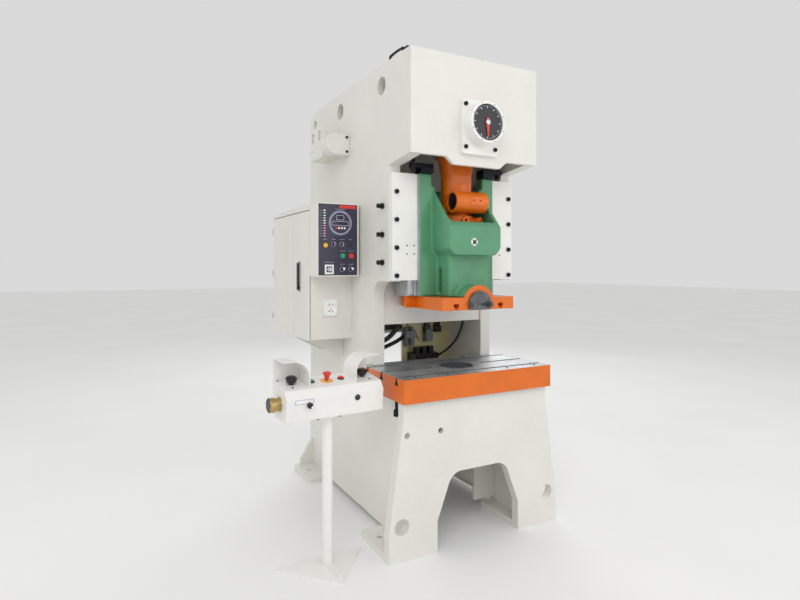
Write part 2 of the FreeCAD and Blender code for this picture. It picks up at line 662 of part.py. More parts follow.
def slide_plate(press):
    """Bolted plate under the slide with T-slots, shank hole and the front clamp."""
    p = press
    base = p.slide_base
    near = p.depth(p.slide_plate_front)
    arch_z = base + p.clamp_height
    slab = block(p, "slide_slab", (-p.slide_plate_half, p.slide_plate_half),
                 (near, near + p.slide_plate_depth), (base, p.flange_top))
    arch = bar(p, "slab_arch", "y", p.boss_arch, near, 6, z=arch_z)
    rear = (near - 1, near + p.slide_plate_depth + 1)
    tools = []
    for side in (-1, 1):
        line = side * p.slide_slot_x
        tools.append(block(p, f"slide_slot_neck_{side + 1}",
                           (line - p.slot_neck / 2, line + p.slot_neck / 2), rear,
                           (base - 1, base + 19)))
        tools.append(block(p, f"slide_slot_head_{side + 1}",
                           (line - p.slot_head / 2, line + p.slot_head / 2), rear,
                           (base + 18, base + 38)))
    tools.append(bar(p, "shank_bore", "z", p.shank_hole / 2, base - 1, p.slide_plate + 2, y=p.ram_y))
    disc_tool = bar(p, "clamp_seat", "y", p.clamp_disc + 0.5, near - 20,
                    p.ram_depth - p.slide_plate_front + 20, z=arch_z)
    low = block(p, "under_slab", (-300, 300), (near - 40, near + 60), (base - 200, base))
    tab_end = p.gib_web - p.inner + 0.5
    tab_rear = p.depth(p.gib_lip) + 40
    bracket = fuse(p, "stop_bracket",
                   block(p, "stop_web", (tab_end, -p.slide_plate_half), (tab_rear - 12, tab_rear),
                         (base + 8, p.flange_top)),
                   block(p, "stop_tab", (tab_end, -p.slide_plate_half), (tab_rear - 37, tab_rear),
                         (base + 4, base + 12)))
    tab_hole = bar(p, "tab_hole", "z", 5, base - 1, 20, x=tab_end + 30, y=tab_rear - 24)
    whole = fuse(p, "slab_and_arch", slab, arch, bracket)
    p.keep(cut(p, "slide_plate_cut", whole, *tools, disc_tool, low, tab_hole), "slide_plate")
    disc = bar(p, "clamp_cap", "y", p.clamp_disc, near - 16,
               p.ram_depth - p.slide_plate_front + 15.5, z=arch_z)
    flat = block(p, "clamp_flat", (-200, 200), (near - 60, near + 400), (base - 200, base + 0.5))
    half_bore = bar(p, "clamp_half_bore", "z", p.shank_hole / 2, base - 10, 200, y=p.ram_y)
    groove = block(p, "clamp_groove", (-34, 34), (near - 17, near - 6), (arch_z - 6, arch_z + 8))
    disc = cut(p, "clamp_disc_cut", disc, flat, groove, half_bore)
    bolts = []
    for side in (-1, 1):
        place = {"x": side * 62, "z": arch_z}
        stud = bar(p, f"clamp_stud_{side + 1}", "y", 10, near - 50, 34, **place)
        bolts += [stud, nut(p, f"clamp_nut_{side + 1}", "y", 34, near - 38, 22, **place)]
    p.keep(fuse(p, "clamp_whole", disc, *bolts), "shank_clamp")


def balance_rods(press):
    """Rods from the slide's ears up into the balance cylinders."""
    p = press
    ear = p.slide_base + p.ear_top
    x, y = p.balance_x, p.depth(p.balance_depth)
    foot = block(p, "rod_foot_block", (p.ear_inner, p.guide_half),
                 (y - 20, p.depth(p.guide_front) + 62), (ear, ear + 59))
    arm = block(p, "rod_arm", (p.guide_half - 1, x + 18), (y - 20, y + 20), (ear + 30, ear + 59))
    shaft = bar(p, "balance_rod", "z", 12, ear + 2, p.piston_height, x=x, y=y)
    piston = bar(p, "balance_piston", "z", p.balance_bore - p.running_gap, ear + p.piston_height, 30,
                 x=x, y=y)
    low_nut = nut(p, "balance_nut", "z", 34, ear + 6, 25, x=x, y=y)
    right = fuse(p, "balance_set", foot, arm, shaft, piston, low_nut)
    sets = [right, mirrored(p, "balance_set_left", right)]
    p.keep(group(p, "balance_sets", sets), "balance_rods")
    low = ear + 268
    outer = block(p, "cylinder_block", (p.inner - p.balance_side, p.inner),
                  (y - p.balance_side / 2, y + p.balance_side / 2),
                  (low, p.top - p.head_plate))
    bore = bar(p, "cylinder_bore", "z", p.balance_bore, low + 10, 320, x=x, y=y)
    neck = bar(p, "cylinder_neck", "z", 12 + p.running_gap, low - 1, 20, x=x, y=y)
    cylinder = cut(p, "cylinder_cut", outer, bore, neck)
    p.keep(group(p, "cylinders", [cylinder, mirrored(p, "cylinder_left", cylinder)]),
           "balance_cylinders")


# --- connecting rod and screw ------------------------------------------------------

def connecting_rod(press):
    p = press
    foot = p.rod_foot
    near = p.ram_y - p.rod_width / 2
    round_top = p.crank_z - p.web - p.stroke - 6
    shank = turned(p, "rod_shank", "z", [
        (foot, 0), (foot, p.rod_neck), (p.rod_length - 190, p.rod_neck, 60),
        (p.rod_length - 90, p.big_end - 8, 30), (p.rod_length - 40, p.big_end - 8),
        (p.rod_length - 40, 0)], y=p.ram_y, z=p.ball_z)
    sides = block(p, "rod_cheeks", (-200, 200), (near, near + p.rod_width),
                  (p.ball_z, p.pin_z + 200))
    lower = block(p, "rod_lower", (-200, 200), (near - 100, near + p.rod_width + 100),
                  (p.ball_z, round_top))
    trim = press.doc.addObject("Part::MultiCommon", "shank_trim")
    trim.Shapes = [shank, fuse(p, "shank_space", sides, lower)]
    eye = bar(p, "rod_eye", "y", p.big_end, near, p.rod_width, z=p.pin_z)
    worm_z, worm_y = p.ball_z + p.worm_height, p.depth(p.worm_depth)
    housing = bar(p, "worm_housing", "x", p.worm_housing, -p.worm_left,
                  p.worm_left + p.worm_right, y=worm_y, z=worm_z)
    saddle = block(p, "worm_saddle", (-p.worm_left + 12, p.worm_right - 12), (worm_y, p.ram_y),
                   (worm_z - p.worm_housing + 4, worm_z + p.worm_housing - 14))
    pad = block(p, "worm_pad", (-10, 84), (worm_y - p.worm_housing - 2, worm_y),
                (worm_z - 22, worm_z + 26))
    worm_bore = bar(p, "worm_bore", "x", p.worm_housing - 12, -p.worm_left - 1, 60, y=worm_y,
                    z=worm_z)
    pad_holes = [bar(p, f"pad_hole_{x}", "y", 6, worm_y - p.worm_housing - 5, 25, x=x, z=worm_z + 6)
                 for x in (12, 62)]
    pin_bore = bar(p, "pin_bore", "y", p.crank_pin + p.journal_gap, near - 1, p.rod_width + 2,
                   z=p.pin_z)
    screw_bore = bar(p, "screw_bore", "z", p.screw + p.running_gap, p.ball_z,
                     p.rod_length - 165, y=p.ram_y)
    rod = cut(p, "rod_cut", fuse(p, "rod_solid", trim, eye, housing, saddle, pad),
              worm_bore, *pad_holes, pin_bore, screw_bore)
    p.keep(rod, "connecting_rod")
    pin = bar(p, "pin", "y", p.crank_pin, near, p.rod_width, z=p.pin_z)
    p.keep(pin, "crank_pin")
    ring = turned(p, "clamp_turned", "z", [
        (p.clamp_low, p.screw + p.running_gap), (p.clamp_high, p.screw + p.running_gap),
        (p.clamp_high, p.clamp_ring, 8), (p.clamp_low, p.clamp_ring, 8)],
        y=p.ram_y, z=p.ball_z)
    bosses, holes = [], []
    level = p.ball_z + (p.clamp_low + p.clamp_high) / 2
    for name, x, turn in (("left", -8, 0), ("right", 52, 32)):
        place = Placement(Vector(x, float(p.ram_y), float(level)), Rotation(Vector(0, 0, 1), turn))
        for kind, store, radius in (("boss", bosses, 25), ("hole", holes, 11)):
            tube = press.doc.addObject("Part::Cylinder", f"clamp_{kind}_{name}")
            tube.Radius = radius
            tube.Height = 124 if kind == "boss" else 40
            start = -126 if kind == "boss" else -128
            tube.Placement = place.multiply(Placement(Vector(0, start, 0), AXIS_TURN["y"]))
            store.append(tube)
    hollow = bar(p, "clamp_bore", "z", p.screw + p.running_gap, p.ball_z, 400, y=p.ram_y)
    split = block(p, "clamp_split", (14, 20), (p.ram_y - 140, p.ram_y),
                  (p.ball_z + p.clamp_low - 5, p.ball_z + p.clamp_high + 5))
    collar = cut(p, "clamp_cut", fuse(p, "clamp_solid", ring, *bosses), hollow, split, *holes)
    neck = turned(p, "clamp_neck", "z", [
        (p.clamp_high, p.screw + p.running_gap), (p.clamp_high, p.screw + 22),
        (p.rod_foot, p.screw + 22), (p.rod_foot, p.screw + p.running_gap)],
        y=p.ram_y, z=p.ball_z)
    p.keep(fuse(p, "clamp_and_neck", collar, neck), "lock_clamp")


def adjusting_screw(press):
    p = press
    ball = press.doc.addObject("Part::Sphere", "screw_ball")
    bind(ball, "Radius", p.ball)
    seat(ball, y=p.ram_y, z=p.ball_z)
    neck = bar(p, "screw_neck", "z", p.screw - 10, p.ball_z, 100, y=p.ram_y)
    thread = bar(p, "screw_thread", "z", p.screw, p.ball_z + 96, p.rod_length - 330, y=p.ram_y)
    p.keep(fuse(p, "screw_solid", ball, neck, thread), "adjusting_screw")


# --- drive -------------------------------------------------------------------------

def crankshaft(press):
    """Front and rear halves; the pin between their webs is a piece of its own."""
    p = press
    half = p.rod_width / 2 + 0.5
    near, far = p.ram_depth - half, p.ram_depth + half
    shaft_end = p.rear_wall_depth + p.inner_plate + 20
    front = turned(p, "crank_front", "y", [
        (-70, 0), (-70, p.dial_shaft), (p.head_front - p.head_plate + 1, p.dial_shaft),
        (p.head_front - p.head_plate + 1, p.journal), (p.web_start, p.journal),
        (p.web_start, p.web, 6), (near, p.web), (near, 0)], y=p.front, z=p.crank_z)
    rear = turned(p, "crank_rear", "y", [
        (far, 0), (far, p.web), (far + near - p.web_start, p.web, 6),
        (far + near - p.web_start, p.main_shaft), (shaft_end, p.main_shaft), (shaft_end, 0)],
        y=p.front, z=p.crank_z)
    p.keep(group(p, "crank", [front, rear]), "crankshaft")


def bushes(press):
    p = press
    rings = []
    rows = [("front", p.head_front - p.head_plate, p.head_plate, p.journal, p.bush_wall, p.crank_z)]
    for wall in (p.wall_depth, p.rear_wall_depth):
        rows.append(("main", wall, p.inner_plate, p.main_shaft, p.bush_wall, p.crank_z))
        rows.append(("pinion", wall, p.inner_plate, p.pinion_shaft, Size.of(12), p.pinion_z))
    for index, (name, start, length, radius, wall, height) in enumerate(rows):
        inner, outer = radius + p.journal_gap, radius + wall
        rings.append(turned(p, f"{name}_bush_{index}", "y", [
            (0, inner), (0, outer), (length, outer), (length, inner)],
            y=p.depth(start), z=height))
    p.keep(group(p, "bush_rings", rings), "crank_bushes")


def involute_outline(module, teeth, gap):
    """Corners of a spur gear's tooth outline, thinned by gap at the pitch circle."""
    pitch = module * teeth / 2
    base = pitch * math.cos(math.radians(20))
    root, tip = pitch - 1.25 * module, pitch + module
    half = (math.pi * module / 2 - gap) / 2 / pitch
    pitch_roll = math.tan(math.radians(20)) - math.radians(20)
    first = max(base, root)
    flank = []
    for step in range(5):
        radius = first + (tip - first) * step / 4
        press_angle = math.acos(base / radius)
        flank.append((radius, half + pitch_roll - (math.tan(press_angle) - press_angle)))
    if root < first:
        flank.insert(0, (root, flank[0][1]))
    points = []
    for tooth in range(teeth):
        middle = 2 * math.pi * tooth / teeth
        points += [(r, middle - a) for r, a in flank]
        points += [(r, middle + a) for r, a in reversed(flank)]
    return points


def gear_shape(module, teeth, gap, width, bore, turn):
    """A spur gear about the Y axis, from y = 0 to its width."""
    points = [Vector(r * math.sin(a + turn), 0, r * math.cos(a + turn))
              for r, a in involute_outline(module, teeth, gap)]
    wire = Part.makePolygon(points + points[:1])
    solid = Part.Face(wire).extrude(Vector(0, width, 0))
    if bore:
        solid = solid.cut(Part.makeCylinder(bore, width, Vector(), Vector(0, 1, 0)))
    return solid


def shaped(press, name, shape, place):
    """A feature with a shape made from the sheet's values, then put in its place."""
    feature = press.doc.addObject("Part::Feature", name)
    feature.Shape = shape
    feature.Placement = Placement(Vector(*(float(Size.of(v)) for v in place)), Rotation())
    return feature


def gears(press):
    p = press
    module, width = float(p.gear_module), float(p.gear_width)
    wheel = gear_shape(module, int(p.gear_teeth.value), float(p.tooth_gap), width,
                       float(p.main_shaft), math.pi)
    p.keep(shaped(p, "wheel", wheel, (0, p.depth(p.gear_depth), p.crank_z)), "main_gear")
    teeth = int(p.pinion_teeth.value)
    cluster = gear_shape(module, teeth, float(p.tooth_gap), width + 10, 0, math.pi / teeth)
    start = float(p.wall_depth) - 20 - float(p.gear_depth) + 5
    end = float(p.flywheel_depth + p.flywheel_width) + 20 - float(p.gear_depth) + 5
    shaft = Part.makeCylinder(float(p.pinion_shaft), end - start, Vector(0, start, 0),
                              Vector(0, 1, 0))
    p.keep(shaped(p, "pinion", cluster.fuse(shaft).removeSplitter(),
                  (0, p.depth(p.gear_depth) - 5, p.pinion_z)), "pinion_shaft")


def flywheel(press):
    p = press
    width, hub = p.flywheel_width, p.pinion_shaft + 50
    profile = [(0, p.pinion_shaft + p.journal_gap), (0, hub), (40, hub), (40, p.flywheel - 60),
               (0, p.flywheel - 60), (0, p.flywheel, 4), (width, p.flywheel, 4),
               (width, p.flywheel - 60), (width - 40, p.flywheel - 60), (width - 40, hub),
               (width, hub), (width, p.pinion_shaft + p.journal_gap)]
    p.keep(turned(p, "wheel_body", "y", profile, y=p.depth(p.flywheel_depth), z=p.pinion_z),
           "flywheel")


def motor(press):
    p = press
    start = p.flywheel_depth - 400
    barrel = bar(p, "motor_barrel", "y", p.motor_body, p.depth(start), 340, z=p.motor_z)
    feet = block(p, "motor_feet", (-95, 95), (p.depth(start) + 60, p.depth(start) + 280),
                 (p.shelf_top, p.motor_z - 40))
    terminals = block(p, "motor_terminals", (-60, 60), (p.depth(start) + 100, p.depth(start) + 220),
                      (p.motor_z + 60, p.motor_z + 165))
    nose = bar(p, "motor_nose", "y", 60, p.depth(start) + 335, 30, z=p.motor_z)
    fins = [block(p, f"motor_fin_{index}", (-p.motor_body - 8, p.motor_body + 8),
                  (p.depth(start) + 30, p.depth(start) + 310),
                  (p.motor_z - 60 + 24 * index, p.motor_z - 56 + 24 * index))
            for index in range(6)]
    bore = bar(p, "motor_bore", "y", 20 + p.journal_gap, p.depth(start) + 250, 200, z=p.motor_z)
    p.keep(cut(p, "motor_cut", fuse(p, "motor_solid", barrel, feet, terminals, nose, *fins), bore),
           "motor")
    width = p.flywheel_width
    p.keep(turned(p, "pulley", "y", [
        (-120, 0), (-120, 20), (-4, 20), (-4, 46), (10, 46), (10, p.motor_pulley),
        (width - 10, p.motor_pulley), (width - 10, 30), (width, 30), (width, 0)],
        y=p.depth(p.flywheel_depth), z=p.motor_z), "motor_pulley")


def belt_face(big, small, distance):
    """Face inside a belt over two wheels, in the XZ plane; the big wheel is at the origin."""
    lean = math.asin((big - small) / distance)
    side = Vector(math.cos(lean), 0, -math.sin(lean))
    low = Vector(0, 0, -distance)
    right = (side * big, low + side * small)
    left = tuple(Vector(-v.x, 0, v.z) for v in right)
    edges = [Part.Arc(left[0], Vector(0, 0, big), right[0]).toShape(),
             Part.LineSegment(right[0], right[1]).toShape(),
             Part.Arc(right[1], low + Vector(0, 0, -small), left[1]).toShape(),
             Part.LineSegment(left[1], left[0]).toShape()]
    return Part.Face(Part.Wire(edges))


def drive_belts(press):
    p = press
    gap, thick, width = float(p.running_gap), float(p.belt), float(p.belt_width)
    distance = float(p.pinion_z - p.motor_z)
    big, small = float(p.flywheel) + gap, float(p.motor_pulley) + gap
    loop = belt_face(big + thick, small + thick, distance).cut(belt_face(big, small, distance))
    pitch = (float(p.flywheel_width) - 30 - width) / 3
    belts = [loop.extrude(Vector(0, width, 0)).translated(Vector(0, 15 + pitch * index, 0))
             for index in range(4)]
    p.keep(shaped(p, "belts", Part.makeCompound(belts), (0, p.depth(p.flywheel_depth), p.pinion_z)),
           "drive_belts")


# --- dial --------------------------------------------------------------------------

def dial(press):
    p = press
    low, high = p.crank_z - p.dial_plate_low, p.crank_z + p.dial_plate_high
    half, face = p.dial_plate_half, p.depth(-10)
    corners = [(-half, low, 12), (half, low, 12), (half, high, 12), (-half, high, 12)]
    holes = [(x * p.dial_screw_x, p.crank_z + z, 7.5) for x in (-1, 1)
             for z in (-p.dial_plate_low + 40, p.dial_plate_high - 30)]
    base = plate(p, "dial_base", "XZ", [corners], 28, face, holes)
    drum = turned(p, "dial_drum", "y", [
        (0, 0), (0, p.dial_radius), (-p.dial_front + 10, p.dial_radius, 5),
        (-p.dial_front + 10, p.dial_radius - p.dial_wall), (-20, p.dial_radius - p.dial_wall),
        (-20, 0)], y=face, z=p.crank_z)
    bore = bar(p, "dial_bore", "y", p.dial_shaft + 3, p.depth(-60), 90, z=p.crank_z)
    p.keep(cut(p, "dial_cut", fuse(p, "dial_solid", base, drum), bore), "dial_housing")
    front = -p.dial_front - 2
    hub = bar(p, "pointer_hub", "y", 13, p.depth(-88), 18, z=p.crank_z)
    hand = plate(p, "pointer_hand", "XZ", [[
        (-3, p.crank_z - 84), (3, p.crank_z - 84), (9, p.crank_z - 20), (6, p.crank_z + 28),
        (-6, p.crank_z + 28), (-9, p.crank_z - 20)]], 4, p.depth(front + 6))
    p.keep(fuse(p, "pointer_solid", hub, hand), "dial_pointer")


# --- electrical boxes --------------------------------------------------------------

def shell(press, name, x, y, z, wall, open_face=None):
    """A thin-walled box, open on one face if it is named."""
    inner = []
    for axis, (low, high) in zip("xyz", (x, y, z)):
        inner.append((low - 1 if open_face == "-" + axis else low + wall,
                      high + 1 if open_face == "+" + axis else high - wall))
    return cut(press, name, block(press, name + "_outside", x, y, z),
               block(press, name + "_inside", *inner))


def cabinet(press):
    p = press
    wall_x = -p.outer
    left = wall_x - p.box_side
    rear = p.depth(p.cabinet_front + p.cabinet_length)
    near = p.depth(p.cabinet_front)
    box = shell(p, "cabinet_box", (left, wall_x), (near, rear), (p.cabinet_low, p.cabinet_high),
                p.cabinet_wall, "-x")
    canopy = plate(p, "canopy", "YZ", [[
        (near, p.cabinet_high), (rear + 6, p.cabinet_high), (rear + 6, p.cabinet_high + 18),
        (near, p.cabinet_high + p.canopy_rise)]], p.box_side + p.door_thickness + 10,
        left - p.door_thickness - 10)
    bracket = plate(p, "cabinet_bracket", "XZ", [[
        (wall_x, p.cabinet_low), (left, p.cabinet_low), (wall_x - 30, p.cabinet_low - 149),
        (wall_x, p.cabinet_low - 149)]], 60, near + 150)
    second = plate(p, "cabinet_bracket_rear", "XZ", [[
        (wall_x, p.cabinet_low), (left, p.cabinet_low), (wall_x - 30, p.cabinet_low - 149),
        (wall_x, p.cabinet_low - 149)]], 60, near + 550)
    p.keep(fuse(p, "cabinet_whole", box, canopy, bracket, second), "electrical_cabinet")
    door_x = (left - p.door_gap - p.door_thickness, left - p.door_gap)
    door = block(p, "door_leaf", door_x, (near, rear), (p.cabinet_low, p.cabinet_high - 4))
    hollow = block(p, "door_hollow", (door_x[0] + 3, door_x[1] + 1), (near + 3, rear - 3),
                   (p.cabinet_low + 3, p.cabinet_high - 7))
    lock_hole = bar(p, "lock_hole", "x", 10.3, door_x[0] - 1, 10, y=near + 160, z=1500)
    p.keep(cut(p, "door_cut", door, hollow, lock_hole), "cabinet_door")
    lever = plate(p, "lever", "YZ", [[
        (near + 149, 1484, 9), (near + 171, 1484, 9), (near + 171, 1673, 9),
        (near + 149, 1673, 9)]], 12, door_x[0] - 18)
    spindle = bar(p, "spindle", "x", 10, door_x[0] - 8, 30, y=near + 160, z=1500)
    p.keep(fuse(p, "lever_whole", lever, spindle), "door_handle")


def panel(press):
    """Front box with the control plate, and its buttons and switches."""
    p = press
    near = p.depth(p.panel_front)
    box = shell(p, "panel_shell", (-p.panel_left, -p.panel_right), (near, p.depth(p.cabinet_front)),
                (p.panel_low, p.panel_high), p.cabinet_wall, "+y")
    left, top = -p.panel_left, p.panel_high
    rows = [("yellow", 53, 279, 15, "push"), ("selector_one", 112, 272, 13, "turn"),
            ("selector_two", 171, 272, 13, "turn"), ("green", 173, 347, 17, "push"),
            ("red", 234, 347, 17, "push"), ("key", 81, 436, 15, "turn"),
            ("selector_three", 173, 435, 14, "turn"), ("selector_four", 234, 435, 14, "turn")]
    tools = []
    for name, x, drop, radius, kind in rows:
        tools.append(bar(p, f"panel_hole_{name}", "y", radius - 3.7, near - 1,
                         p.cabinet_wall + 2, x=left + x, z=top - drop))
    p.keep(cut(p, "panel_cut", box, *tools), "panel_box")
    for name, x, drop, radius, kind in rows:
        place = {"x": left + x, "y": near, "z": top - drop}
        if kind == "push":
            button = turned(p, f"{name}_turned", "y", [
                (-12, 0), (-12, radius, 2), (-4.5, radius), (-4.5, radius - 4),
                (20, radius - 4), (20, 0)], **place)
            p.keep(button, f"panel_{name}_button")
            continue
        base = turned(p, f"{name}_turned", "y", [
            (-8, 0), (-8, radius, 1), (-0.3, radius), (-0.3, radius - 4), (20, radius - 4),
            (20, 0)], **place)
        grip = block(p, f"{name}_grip", (place["x"] - 3.5, place["x"] + 3.5),
                     (near - 20, near - 7), (place["z"] - radius + 2, place["z"] + radius - 2))
        p.keep(fuse(p, f"{name}_whole", base, grip),
               "panel_key_switch" if name == "key" else f"panel_{name}")


def cam_boxes(press):
    p = press
    wall = -p.outer
    near = p.depth(p.cam_front)
    box = block(p, "cam_block", (wall - p.cam_out, wall), (near, near + p.cam_length),
                (p.cam_low, p.cam_high))
    seam = cut(p, "cam_seam_ring",
               block(p, "seam_out", (wall - p.cam_out - 1, wall + 1), (near - 1, near + p.cam_length + 1),
                     (p.cam_high - 51, p.cam_high - 48)),
               block(p, "seam_in", (wall - p.cam_out + 2, wall + 1),
                     (near + 2, near + p.cam_length - 2), (p.cam_high - 52, p.cam_high - 47)))
    hollow = block(p, "cam_hollow", (wall - p.cam_out + 5, wall - 5),
                   (near + 5, near + p.cam_length - 5), (p.cam_low + 5, p.cam_high - 5))
    p.keep(cut(p, "cam_cut", box, seam, hollow), "cam_box")
    mid = p.crank_z + 4
    outer = [(wall, mid - p.chain_half), (wall - p.chain_out, mid - p.chain_half, p.chain_half - 1),
             (wall - p.chain_out, mid + p.chain_half, p.chain_half - 1), (wall, mid + p.chain_half)]
    cover = plate(p, "chain_cover", "XZ", [outer], p.chain_depth, p.depth(p.chain_front))
    bridge = block(p, "cam_bridge", (wall - 80, wall), (p.depth(p.chain_front + p.chain_depth),
                                                        near), (mid - 40, mid + 40))
    p.keep(fuse(p, "cam_drive", cover, bridge), "cam_drive_cover")


# --- services behind the bolster ----------------------------------------------------

def services(press):
    p = press
    back = p.depth(918)
    sheet = block(p, "valve_sheet", (-28, p.inner), (back, back + 6), (p.bed_height, 1223))
    unit = []
    for index, (x, wide) in enumerate(((-12, 40), (34, 46))):
        unit.append(block(p, f"air_body_{index}", (x - wide / 2, x + wide / 2), (back - 62, back),
                          (1120, 1172)))
        unit.append(bar(p, f"air_bowl_{index}", "z", wide / 2 - 3, 1060, 64, x=x, y=back - 32))
        unit.append(bar(p, f"air_cap_{index}", "z", wide / 2 - 5, 1170, 28, x=x, y=back - 32))
    unit.append(block(p, "air_valve", (150, 205), (back - 55, back), (1085, 1175)))
    on_walls, unit_gland, pump_gland = hose_fittings(p)
    unit.append(shaped(p, "unit_gland", unit_gland, (0, 0, 0)))
    fittings = [shaped(p, f"hose_fitting_{index}", fitting, (0, 0, 0))
                for index, fitting in enumerate(on_walls)]
    p.keep(group(p, "air_service", [fuse(p, "air_unit", sheet, *unit)] + fittings),
           "air_service_unit")
    tank = block(p, "pump_tank", (15, 215), (back - 118, back), (p.bed_height + 40, p.bed_height + 128))
    tops = [bar(p, f"pump_head_{x}", "z", 26, p.bed_height + 120, 52, x=x, y=back - 62)
            for x in (60, 120, 175)]
    port = shaped(p, "pump_gland", pump_gland, (0, 0, 0))
    p.keep(fuse(p, "pump_solid", tank, *tops, port), "lubrication_pump")


def hose_shape(points, diameter):
    """A round tube along straight runs joined by tangent arcs."""
    edges, place = [], points[0]
    for before, at, after in zip(points, points[1:], points[2:]):
        come, leave = (at - before), (after - at)
        turn = come.getAngle(leave)
        reach = 0.45 * min(come.Length, leave.Length)
        radius = reach / math.tan(turn / 2)
        come.normalize()
        leave.normalize()
        first, last = at - come * reach, at + leave * reach
        inward = (leave - come).normalize()
        middle = at + inward * (radius / math.cos(turn / 2) - radius)
        edges.append(Part.LineSegment(place, first).toShape())
        edges.append(Part.Arc(first, middle, last).toShape())
        place = last
        print(f"hose arc radius {radius:.0f} for diameter {diameter}")
    edges.append(Part.LineSegment(place, points[-1]).toShape())
    path = Part.Wire(edges)
    ring = Part.Wire(Part.Circle(points[0], points[1] - points[0], diameter / 2).toShape())
    tube = path.makePipeShell([ring], True, False)
    length = sum(edge.Length for edge in edges)
    print(f"hose volume over section and length {tube.Volume / length / math.pi / diameter ** 2 * 4:.4f}")
    return tube


# Each hose: diameter and its route, with Y counted backwards from the frame's front.
HOSES = [
    (34, [(-226, 600, 1262), (-243, 612, 1222), (-268, 630, 1182), (-303, 650, 1149),
          (-344, 668, 1128)]),
    (28, [(-350, 770, 1046), (-296, 778, 1062), (-236, 792, 1079), (-172, 812, 1094),
          (-108, 838, 1110), (-52, 866, 1130)]),
    (16, [(300, 600, 1262), (314, 640, 1216), (328, 690, 1160), (333, 745, 1100),
          (318, 796, 1046), (284, 832, 1004), (234, 854, 971)]),
]


def hose_points(press, route):
    return [Vector(x, float(press.front) + y, z) for x, y, z in route]


def gland(start, after, diameter):
    """The sleeve that a hose end sits in, in line with the hose."""
    return Part.makeCylinder(diameter * 0.62, 26, start, start - after)


def hose_fitting(press, start, after, diameter, towards):
    """A gland on a round elbow that stands on a wall, in the direction given."""
    away = (start - after).normalize()
    middle = start + away * 26
    size = diameter * 0.66
    elbow = Part.makeSphere(size, middle).fuse(Part.makeCylinder(size, 120, middle, towards))
    room = Part.makeBox(2 * float(press.inner), 2000, 2000, Vector(
        -float(press.inner), float(press.depth(press.wall_depth) + press.inner_plate), 0))
    return gland(start, after, diameter).fuse(elbow).common(room).removeSplitter()


def hose_fittings(press):
    """Fittings on the walls, then the glands of the air unit and of the pump."""
    back, left = Vector(0, -1, 0), Vector(-1, 0, 0)
    thick, middle, thin = [(d, hose_points(press, route)) for d, route in HOSES]
    on_walls = [hose_fitting(press, thick[1][0], thick[1][1], thick[0], back),
                hose_fitting(press, thick[1][-1], thick[1][-2], thick[0], left),
                hose_fitting(press, middle[1][0], middle[1][1], middle[0], left),
                hose_fitting(press, thin[1][0], thin[1][1], thin[0], back)]
    return (on_walls, gland(middle[1][-1], middle[1][-2], middle[0]),
            gland(thin[1][-1], thin[1][-2], thin[0]))


def air_hoses(press):
    """Supply hoses behind the throat."""
    p = press
    tubes = [hose_shape(hose_points(p, route), diameter) for diameter, route in HOSES]
    p.keep(shaped(p, "hoses", Part.makeCompound(tubes), (0, 0, 0)), "air_hoses")


# --- console -----------------------------------------------------------------------

def console_frame(press):
    """Placement of the console's own axes: its pole foot, turned about Z."""
    p = press
    return Placement(Vector(float(p.console_x), float(p.depth(p.console_depth)), 0),
                     Rotation(Vector(0, 0, 1), float(p.console_turn)))


CONSOLE_SECTION = {"front_low": (-93, 842), "front_high": (-103, 960), "lip": (-73, 1003),
                   "rear_high": (112, 1031), "rear_low": (64, 842)}


def console_top_place(press, x, along, lift=0):
    """Placement on the console's sloping top: along runs from its front lip to the back."""
    (y0, z0), (y1, z1) = CONSOLE_SECTION["lip"], CONSOLE_SECTION["rear_high"]
    slope = math.degrees(math.atan2(z1 - z0, y1 - y0))
    run = Rotation(Vector(1, 0, 0), slope)
    start = Vector(x, y0, z0)
    local = Placement(start + run.multVec(Vector(0, along, lift)), run)
    return console_frame(press).multiply(local)


def console_front_place(press, x, height):
    """Placement on the console's front face, with its Z axis pointing outwards."""
    (y0, z0), (y1, z1) = CONSOLE_SECTION["front_low"], CONSOLE_SECTION["front_high"]
    share = (height - z0) / (z1 - z0)
    lean = math.degrees(math.atan2(y0 - y1, z1 - z0))
    run = Rotation(Vector(1, 0, 0), 90 + lean)
    return console_frame(press).multiply(Placement(Vector(x, y0 + (y1 - y0) * share, height), run))


def console_stand(press):
    p = press
    base = plate(p, "console_foot", "XY", [[(-268, 112, 12), (266, 94, 12), (-8, -214, 12)]], 8)
    pole = bar(p, "console_pole", "z", p.pole / 2, 0, p.console_low)
    strap = block(p, "console_strap", (-6, 6), (-170, -p.pole / 2 + 2), (4, 30))
    flange = block(p, "console_flange", (-70, 70), (-50, 50), (p.console_low - 8, p.console_low))
    stand = fuse(p, "console_stand_whole", base, pole, strap, flange)
    stand.Placement = console_frame(p)
    p.keep(stand, "console_stand")


def hood(press, name, side):
    """A curved sheet hood over a palm button, open to the front and the outside."""
    p = press
    inner_x = side * (p.console_half - p.hood_width)
    low, high = 985, 1031 + p.hood_height
    shells = []
    for kind, inset, start, length in (("out", 0, -58, 158), ("in", 4, -62, 158)):
        x0 = inner_x + side * inset
        x1 = side * p.console_half + (side if kind == "in" else 0)
        outline = [(x0, low), (x0, high - inset, p.hood_corner - inset), (x1, high - inset),
                   (x1, low)]
        if side < 0:
            outline = outline[::-1]
        shells.append(plate(p, f"{name}_{kind}", "XZ", [outline], length, start))
    body = block(p, name + "_below", (-400, 400), (-300, 300), (900, 1000))
    (y0, z0), (y1, z1) = CONSOLE_SECTION["lip"], CONSOLE_SECTION["rear_high"]
    rake = plate(p, name + "_rake", "YZ", [[
        (y0 - 100, z0 - 100 * (z1 - z0) / (y1 - y0)), (y1 + 100, z1 + 100 * (z1 - z0) / (y1 - y0)),
        (y1 + 100, 900), (y0 - 100, 900)]], 900, -450)
    return cut(p, name, shells[0], shells[1], body, rake)


